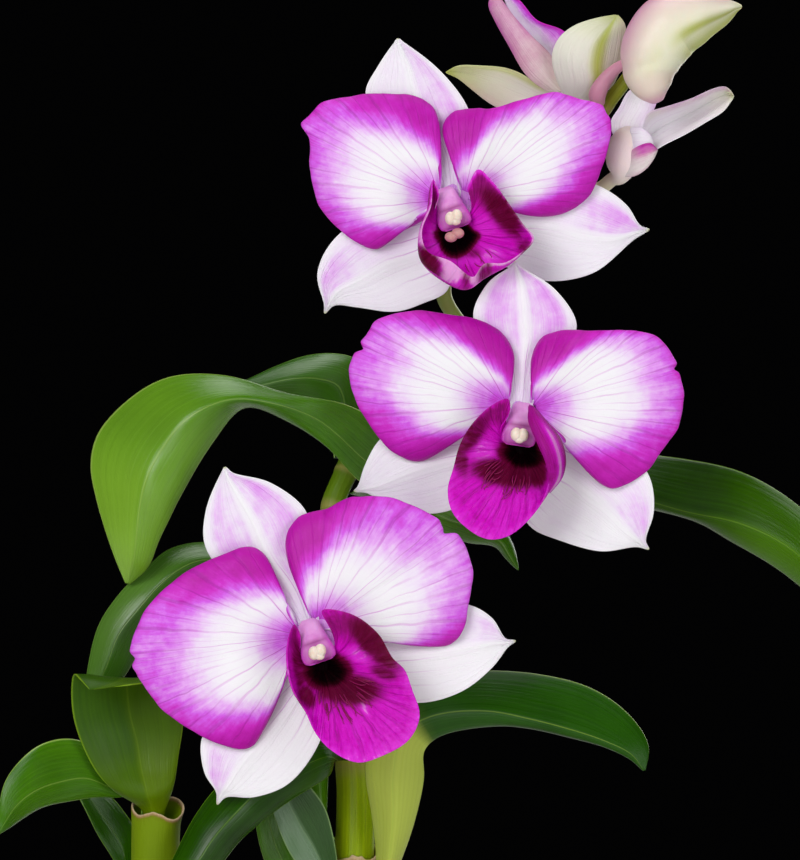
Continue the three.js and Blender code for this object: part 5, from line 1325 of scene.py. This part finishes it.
# for each petal how far the white reaches from the claw and how deep the rim is, round its edge, the rim
# deepest at the inner corners partly as painted shade where the margin bends back; for each sepal the lilac
# blush left and right of its rib; for the lip its dark spots, its own crimson with the throat's near black as
# painted shade, and its light spots, mostly painted highlights;
# the fold's dark spots are painted shade and its light spots painted light
bloomColours = {
  "top_bloom": {
    "petals": [
      {
        "white": [0.32, 0.34, 0.46, 0.6, 0.66, 0.66, 0.72, 0.66, 0.45, 0.4, 0.3],
        "rim": [0.92, 0.94, 0.95, 0.85, 0.65, 0.56, 0.54, 0.64, 0.95, 0.95, 0.85],
      },
      {
        "white": [0.3, 0.3, 0.38, 0.72, 0.8, 0.72, 0.7, 0.66, 0.5, 0.5, 0.35],
        "rim": [0.9, 0.98, 0.98, 0.82, 0.7, 0.58, 0.6, 0.85, 0.95, 0.95, 0.85],
      },
    ],
    "blush": [([0.05, 0.1, 0.1, 0], [0.2, 0.4, 0.3, 0.05]), ([0, 0, 0.05, 0], [0.1, 0.2, 0.4, 0.1]),
      ([0, 0.1, 0.45, 0.1], [0, 0, 0.05, 0])],
    "lip": {
      "dark": [(-0.4, -4.6, 4.2, 2.8, 0, 1.0), (3.2, -5, 2.6, 1.6, 0, 0.95), (3.4, -8.8, 3.2, 1.5, -8, 0.3),
        (11, 0.8, 8.5, 3.2, -52, 0.5), (16, -7, 2.4, 2.6, 0, 0.3), (-6, 3, 1.5, 5, 0, 0.3)],
      "light": [(8.4, -9.8, 2.6, 2.4, 0, 0.5), (2.4, -10.6, 4.6, 1.4, -8, 0.3),
        (7.4, -2.2, 2.4, 2.6, 40, 0.2), (-4.8, -5.5, 1.6, 3.4, 0, 0.4)],
      "foldFrom": 0.72,
      "foldDark": [(-6, -11, 4.4, 2.4, -50, 0.5), (2.4, -14.5, 1.1, 3, 0, 0.35),
        (6.5, -13.5, 1.6, 3, -20, 0.35), (10.4, 0.8, 7.5, 2.9, -48, 0.5), (15.9, -7.8, 2, 2.2, 0, 0.35)],
      "foldLight": [(-0.8, -13.4, 3, 3, -20, 1.0), (4.2, -14.6, 1.2, 2, 0, 1.0), (-7.5, -6, 1, 4, 20, 0.7)],
    },
    "hairs": {"count": 6, "turns": (0.36, 0.6), "from": (0.2, 0.3), "length": 0.14, "rise": 0.3},
    "pollen": [(-2.0, -4.6), (-0.3, -4.3)],
  },
  "middle_bloom": {
    "petals": [
      {
        "white": [0.28, 0.24, 0.35, 0.66, 0.72, 0.64, 0.68, 0.62, 0.38, 0.38, 0.28],
        "rim": [0.95, 1.0, 1.0, 0.88, 0.6, 0.55, 0.55, 0.8, 1.0, 1.0, 0.9],
      },
      {
        "white": [0.28, 0.25, 0.38, 0.8, 0.76, 0.7, 0.72, 0.62, 0.45, 0.48, 0.3],
        "rim": [0.95, 1.0, 1.0, 0.75, 0.66, 0.6, 0.6, 0.75, 0.95, 1.0, 0.9],
      },
    ],
    "blush": [([0.15, 0.4, 0.42, 0.1], [0.15, 0.45, 0.45, 0.1]), ([0, 0.05, 0.1, 0], [0, 0.05, 0.05, 0]),
      ([0, 0.1, 0.35, 0.1], [0, 0.05, 0, 0])],
    "lip": {
      "dark": [(1.2, -5.2, 5.6, 3.6, -12, 1.0), (-11, -1, 6.6, 2.4, 50, 0.4), (-13.2, -6, 2, 4.4, 12, 0.4),
        (-2.6, -9.4, 8.4, 3.2, -10, 0.55), (4.3, -9.4, 2.6, 3.4, 0, 0.55), (5, -2.5, 6.4, 1.8, -66, 0.4)],
      "light": [(-8, -4.6, 2.6, 3, 0, 0.45)],
    },
    "hairs": {"count": 22, "turns": (0.36, 0.66), "from": (0.2, 0.36), "length": 0.24, "rise": 0.8},
  },
  "lower_bloom": {
    "petals": [
      {
        "white": [0.36, 0.4, 0.46, 0.56, 0.58, 0.58, 0.62, 0.7, 0.6, 0.48, 0.4],
        "rim": [0.88, 1.0, 1.0, 0.92, 0.6, 0.5, 0.55, 0.68, 1.0, 1.0, 0.88],
      },
      {
        "white": [0.36, 0.36, 0.46, 0.6, 0.6, 0.6, 0.64, 0.7, 0.7, 0.62, 0.42],
        "rim": [0.9, 1.0, 1.0, 0.85, 0.6, 0.5, 0.42, 0.5, 0.92, 0.98, 0.85],
      },
    ],
    "blush": [([0.2, 0.42, 0.28, 0.05], [0.2, 0.4, 0.42, 0.1]), ([0, 0, 0, 0], [0.05, 0.1, 0.35, 0.1]),
      ([0, 0.05, 0.3, 0.05], [0, 0, 0, 0])],
    "lip": {
      "dark": [(1.6, -5.2, 5.6, 4.2, 0, 1.0), (12.2, 1.4, 8.6, 3.2, -48, 0.5), (6.4, -9, 8, 3.6, 0, 0.55),
        (-4.8, -4, 1.6, 8, 8, 0.4), (14.4, -5, 3.4, 1.8, -20, 0.4), (-3, -10.5, 2, 3, 30, 0.45)],
      "light": [(12, -22.5, 9, 2.4, 14, 0.15), (9.9, -12.6, 0.5, 2.4, 30, 0.9), (9.2, -1, 3, 2, -20, 0.5)],
    },
    "hairs": {"count": 26, "turns": (0.36, 0.7), "from": (0.2, 0.34), "length": 0.22, "rise": 0.8},
  },
}
random.seed(5)
for node, bloom in blooms.items():
    makeBloom(node, bloom, bloomColours[node])
    print(node.replace("_", " ") + " ready")

# half-open blooms and the bud

openingLeft = {
  "openingPinkSepal": {
    "skin": blushSkin, "grid": (12, 28),
    "marks": {"blush": [0.8, 0.6, 0.5, 0.5, 0.65], "green": [0.2, 0.1, 0, 0, 0]},
    "left": [[65.5, 28, 325], [59, 26, 329.5], [54.5, 26, 337], [51.5, 27, 342.5], [50, 28, 346.5]],
    "rib": [[67, 26.5, 326], [61.5, 24.5, 331.5], [57, 24, 338], [53.7, 25, 343], [51.7, 27, 347]],
    "right": [[68, 28, 326.5], [65, 26, 334], [60, 25, 339], [56, 26, 343.5], [53.5, 27, 347]],
    "tip": [51.5, 30, 349.5],
  },
  "openingPetal": {
    "skin": petalSkin, "grid": (14, 28),
    "marks": {"blush": [0.2, 0.15, 0.25, 0.5, 0.8], "green": [0, 0, 0], "vein": 0.4},
    "left": [[67, 31, 326.5], [63, 30, 333.5], [59.5, 29, 338.5], [56, 29, 343.5], [54, 30, 347]],
    "rib": [[68.5, 32.5, 326.5], [66, 33, 334], [63, 33, 339.5], [58.5, 32.5, 343.5], [56, 32, 347]],
    "right": [[70, 31, 326.5], [70, 32, 335.5], [68, 33, 340.5], [61.5, 32, 343], [57.5, 31, 347.5]],
    "tip": [53.5, 31, 350.5],
  },
  "openingGreenSepal": {
    "skin": blushSkin, "grid": (12, 28),
    "marks": {
      "blush": [0.0, 0.0, 0.1, 0.35], "green": [0.1, 0.15, 0.3, 0.6, 1.0], "rib": (0.04, 0.8), "vein": 0.1,
    },
    "left": [[67.5, 33, 325.5], [62, 32, 328], [58, 31, 330.5], [54, 31, 332], [47.5, 31, 332.5],
      [43, 32, 332.5]],
    "rib": [[67.5, 34, 324], [61.5, 34, 324.5], [56.5, 33.5, 326], [52, 33, 328], [46.8, 33, 330],
      [43, 33, 331]],
    "right": [[67.5, 33, 322.5], [61, 32, 321], [55, 31, 321.5], [50.5, 31, 323.5], [46, 31, 327],
      [43, 32, 329.5]],
    "tip": [40, 33, 331],
  },
  "openingWideSepal": {
    "skin": blushSkin, "grid": (20, 28),
    "marks": {
      "blush": [0.0, 0.0, 0.0, 0.05, 0.25], "green": [0.05, 0.1, 0.15, 0.35, 0.8], "rib": (0.6, 1.0),
      "vein": 0.08,
    },
    "left": [[68, 28, 324.5], [65.5, 23, 329], [64.5, 21, 334], [66, 21, 338], [69.5, 22, 341],
      [75, 24, 343]],
    "rib": [[71, 26, 323.5], [73.8, 20, 327.5], [73.2, 17.5, 332], [74, 17.5, 336], [75.5, 19, 338.5],
      [77.5, 22, 341]],
    "right": [[72.5, 28, 323.5], [78.5, 24.6, 327], [81, 23.4, 332.5], [82, 23.8, 337.5], [82, 24.4, 340],
      [81.5, 25, 342]],
    "tip": [80, 27, 344],
  },
}

openingRight = {
  "openingDorsal": {
    "skin": sepalSkin, "grid": (12, 24),
    "marks": {"blush": [0.1, 0.02, 0.0, 0.08, 0.24], "green": [0, 0, 0.1]},
    "left": [[79, 20, 314.5], [78, 19.6, 318.5], [80, 18.8, 322], [82, 17.6, 325.5]],
    "rib": [[82, 21, 314.5], [82.5, 21, 318.5], [84.3, 20, 322], [85.4, 18.8, 325.5]],
    "right": [[85, 20, 315], [86.5, 19.6, 318.5], [88.5, 19, 322.5], [88.5, 18.4, 325]],
    "tip": [86, 17.4, 328],
  },
  "openingTrough": {
    "skin": sepalSkin, "grid": (20, 28),
    "marks": {
      "blush": [0.3, 0.04, 0.0, 0.02, 0.05], "green": [0.0, 0.05, 0.1, 0.25, 0.75], "rib": (0.06, 0.3),
    },
    "left": [[85, 18, 316.5], [86.5, 17, 320.5], [90.5, 18, 322], [96.5, 20, 324], [102, 22, 326.5],
      [105, 24, 327]],
    "rib": [[85.5, 24, 313.5], [89, 26, 317], [93.5, 27, 319.5], [98.5, 28, 322], [103, 28, 324.5],
      [105.5, 28, 325.5]],
    "right": [[86, 18, 310.5], [90, 16, 313], [95, 16, 315.5], [100, 18, 318.5], [104, 20, 321],
      [106, 23, 323.5]],
    "tip": [107, 26, 325],
  },
  "openingFold": {
    "skin": blushSkin, "grid": (16, 20),
    "marks": {"blush": [1.0, 0.7, 0.15, 0.08, 0.3], "green": [0, 0, 0]},
    "left": [[82, 17, 311.5], [84.5, 14.5, 313], [87, 13.5, 313.5]],
    "rib": [[81.5, 18, 308.5], [84.5, 15, 309.5], [87, 13.8, 310.5]],
    "right": [[80, 19, 306], [83.5, 17, 306], [86.5, 15, 308]], "tip": [88.7, 14, 312],
  },
  "openingLobe": {
    "skin": sepalSkin, "grid": (12, 16),
    "marks": {"blush": [0.2, 0.06, 0.04, 0.2, 0.8], "green": [0, 0, 0]},
    "left": [[82.5, 18, 317.4], [85, 16.4, 317.2], [87, 15.4, 315.6]],
    "rib": [[82.4, 17.4, 313.8], [84.6, 15.4, 314.2], [86.6, 14.6, 313.9]],
    "right": [[82, 17.6, 309.6], [84.4, 15.4, 310.8], [86.6, 14.8, 312]],
    "tip": [87.9, 15, 313.2],
  },
}


def openingSheets(parts):
    return [sheet(name, bladeShape(part), *part["grid"], tepalThickness, part["skin"],
                  bladeMarks(**part["marks"])) for name, part in parts.items()]


leftPieces = openingSheets(openingLeft) + [
    swelling("openingLeftHeart", (69.5, 30.5, 324), (4, 4, 3.6), sepalSkin),
    tube("openingLeftPedicel", [(70, 29.5, 322, 2.2), (70.2, 29.6, 318, 1.8), (69.8, 28.6, 315, 1.5)], 16, 12,
         pedicelSkin),
]
standsFor(joined("openingBloomLeft", leftPieces), "opening_bloom_left", "opening")

chinStations = [(83.5, 21, 317, 1.8), (82.5, 20.5, 315, 3.6), (81.3, 20, 312, 4.4), (80.8, 20, 309, 3.9),
                (80.2, 21, 306.5, 2.4), (78.5, 22.6, 305.5, 1.6), (75.5, 25, 303.4, 1.6),
                (69.6, 27.5, 303.3, 1.5)]


def chinMarks(u, v):
    return 0.5 * step(0.5, 0.8, v), 0.14 * step(0.6, 0.4, v) + 0.04, 0


rightPieces = openingSheets(openingRight)
rightPieces.append(tube("openingChin", chinStations, 24, 40, paintedLitChinSkin, marks=chinMarks))
standsFor(joined("openingBloomRight", rightPieces), "opening_bloom_right", "opening")

budStations = [(88.6, 9.6, 322.6, 1.2), (87.4, 9, 325.5, 4.4), (86.6, 9, 329.5, 6.4), (87.5, 9, 334.5, 7.6),
               (91, 9, 339.5, 8), (97, 9, 342.3, 6), (102.5, 10, 343.7, 3.4), (106, 11, 344.5, 1.4),
               (107.8, 11.5, 344.6, 0.4)]


def budFolds(turn, v):
    # the sepals meet in three keels that run to the tip, and the chin sits below a shallow seam
    keels = 0.0
    for keel in (0.02, 0.4, 0.78):
        away = math.remainder(turn / (2 * math.pi) - keel, 1.0)
        keels += 0.85 * math.exp(-(away / 0.045) ** 2) - 0.3 * math.exp(-((away - 0.09) / 0.05) ** 2)
    seam = math.exp(-((v - 0.31 - 0.05 * math.sin(turn + 1)) / 0.025) ** 2)
    return keels * step(0.5, 0.66, v) * step(1.0, 0.8, v) - 0.4 * seam * step(0.35, -0.2, math.cos(turn))


def budMarks(u, v):
    # cream, with a yellow-green lower side, lilac behind and a peach chin
    lower = math.exp(-(math.remainder(u - 0.97, 1.0) / 0.1) ** 2) * step(0.3, 0.5, v)
    strip = 0.9 * math.exp(-(math.remainder(u - 0.82, 1.0) / 0.035) ** 2) * step(0.35, 0.6, v)
    tip = 0.35 * step(0.85, 1.0, v)
    back = math.exp(-(math.remainder(u - 0.5, 1.0) / 0.17) ** 2) * step(0.1, 0.4, v) * step(0.95, 0.75, v)
    chin = step(0.32, 0.15, v)
    deep = max(0.95 * back, 0.3 * chin + 0.6 * step(0.14, 0.0, v))
    return max(0.8 * lower, strip, tip, 0.1 * chin), deep, 0.0


budPieces = [
    tube("budBody", budStations, 72, 60, budSkin, budFolds, marks=budMarks),
    tube("budPedicel", [(84, 13, 333, 0.9), (79.6, 16.2, 331, 1.3), (76.6, 17.6, 328, 1.8),
                        (75, 18.8, 325, 2.1), (75.4, 21.1, 322.9, 1.5)], 16, 24, pedicelSkin,
         marks=lambda u, v: (0, 0.9, 0)),
]
standsFor(joined("bud", budPieces), "bud", "bud")
print("opening blooms and bud ready")

# clay pot and its filling of bark

pot = {"height": 95, "footRadius": 39, "rimRadius": 57, "bandHeight": 15, "bandStep": 2.6, "wall": 4}
bark = {
    "top": 84, "mound": 3, "gap": 0.85, "chips": 170, "chipSize": (12, 7, 4.5),
    "canes": ((-22, 8), (10, 5)), "caneClear": 9,  # no chip lies nearer than this to a cane's foot
}


def turned(name, profile, sides, material):
    # a profile of radius and height, turned round the upright axis
    rows = len(profile) - 1
    piece, places = newGrid(name, sides, rows)
    for vert, (u, v) in zip(piece.data.vertices, places):
        turn = 2 * math.pi * u
        radius, z = profile[round(v * rows)]
        vert.co = Vector((radius * math.cos(turn), radius * math.sin(turn), z)) * mm
    weld()
    piece.data.materials.append(material)
    smoothAngle(piece, 40)
    return piece


slope = (pot["rimRadius"] - pot["bandStep"] - pot["footRadius"]) / pot["height"]


def potRadius(z):
    # outside of the pot's wall below its band
    return pot["footRadius"] + slope * z


under = pot["height"] - pot["bandHeight"]
# points from the wall out to the band, then over the rim, as steps from the wall and from the rim's top
bandPoints = [(0, -0.5), (0.8, 0), (2.4, 0.5), (2.9, 1.4)]
rimPoints = [(-0.1, -2.6), (-0.3, -1.2), (-1.1, -0.2), (-2, 0), (-3.2, -0.3), (-4, -1.4), (-4.7, -3)]
potProfile = [(0, 0), (38, 0), (38.6, 0.3), (39.1, 1)]
potProfile += [(potRadius(z), z) for z in (20, 40, 60)]
potProfile += [(potRadius(under) + out, under + up) for out, up in bandPoints]
potProfile += [(pot["rimRadius"] + out, pot["height"] + up) for out, up in rimPoints]
potProfile += [(potRadius(z) - pot["wall"], z) for z in (70, 4)] + [(0, 4)]
standsFor(turned("clayPot", potProfile, 96, claySkin), "pot", "clay")


def barkRadius(z):
    return potRadius(z) - pot["wall"] - bark["gap"]


barkEdge = barkRadius(bark["top"])
barkProfile = [(0, 4.4), (barkRadius(4.4), 4.4), (barkEdge, 83), (barkEdge - 1, 84), (barkEdge * 0.6, 86),
               (0, 87)]
chipPieces = [turned("barkFill", barkProfile, 64, barkSkin)]
random.seed(11)
clearSelection()
bpy.ops.mesh.primitive_cube_add(size=1)
firstChip = bpy.context.object
edges = firstChip.modifiers.new("edges", "BEVEL")
edges.width = 0.12
edges.segments = 1
applyModifiers(firstChip)
firstChip.data.materials.append(barkSkin)
goldenTurn = 2.39996
for k in range(bark["chips"]):
    radius = (barkEdge - 5) * math.sqrt((k + 0.5) / bark["chips"])
    turn = k * goldenTurn + random.uniform(0, 0.3)
    x, y = radius * math.cos(turn), radius * math.sin(turn)
    size = [side * random.uniform(0.6, 1.15) for side in bark["chipSize"]]
    lift = bark["top"] + bark["mound"] * (1 - radius / barkEdge) + random.uniform(-0.8, 1.4)
    spin = (random.uniform(-0.4, 0.4), random.uniform(-0.4, 0.4), random.uniform(0, math.pi))
    if min((Vector((x, y)) - Vector(foot)).length for foot in bark["canes"]) < bark["caneClear"]:
        continue
    chip = firstChip.copy()
    chip.data = firstChip.data.copy()
    bpy.context.scene.collection.objects.link(chip)
    turnedBy = Euler(spin).to_matrix()
    for vert in chip.data.vertices:
        rough = 0.12 * noise.noise_vector(vert.co * 3 + Vector((k, 0, 0)))
        local = Vector([(vert.co[axis] + rough[axis]) * size[axis] for axis in range(3)])
        vert.co = (turnedBy @ local + Vector((x, y, lift))) * mm
    chipPieces.append(chip)
bpy.data.objects.remove(firstChip)
standsFor(joined("barkFill", chipPieces), "bark", "bark")
print("pot ready")
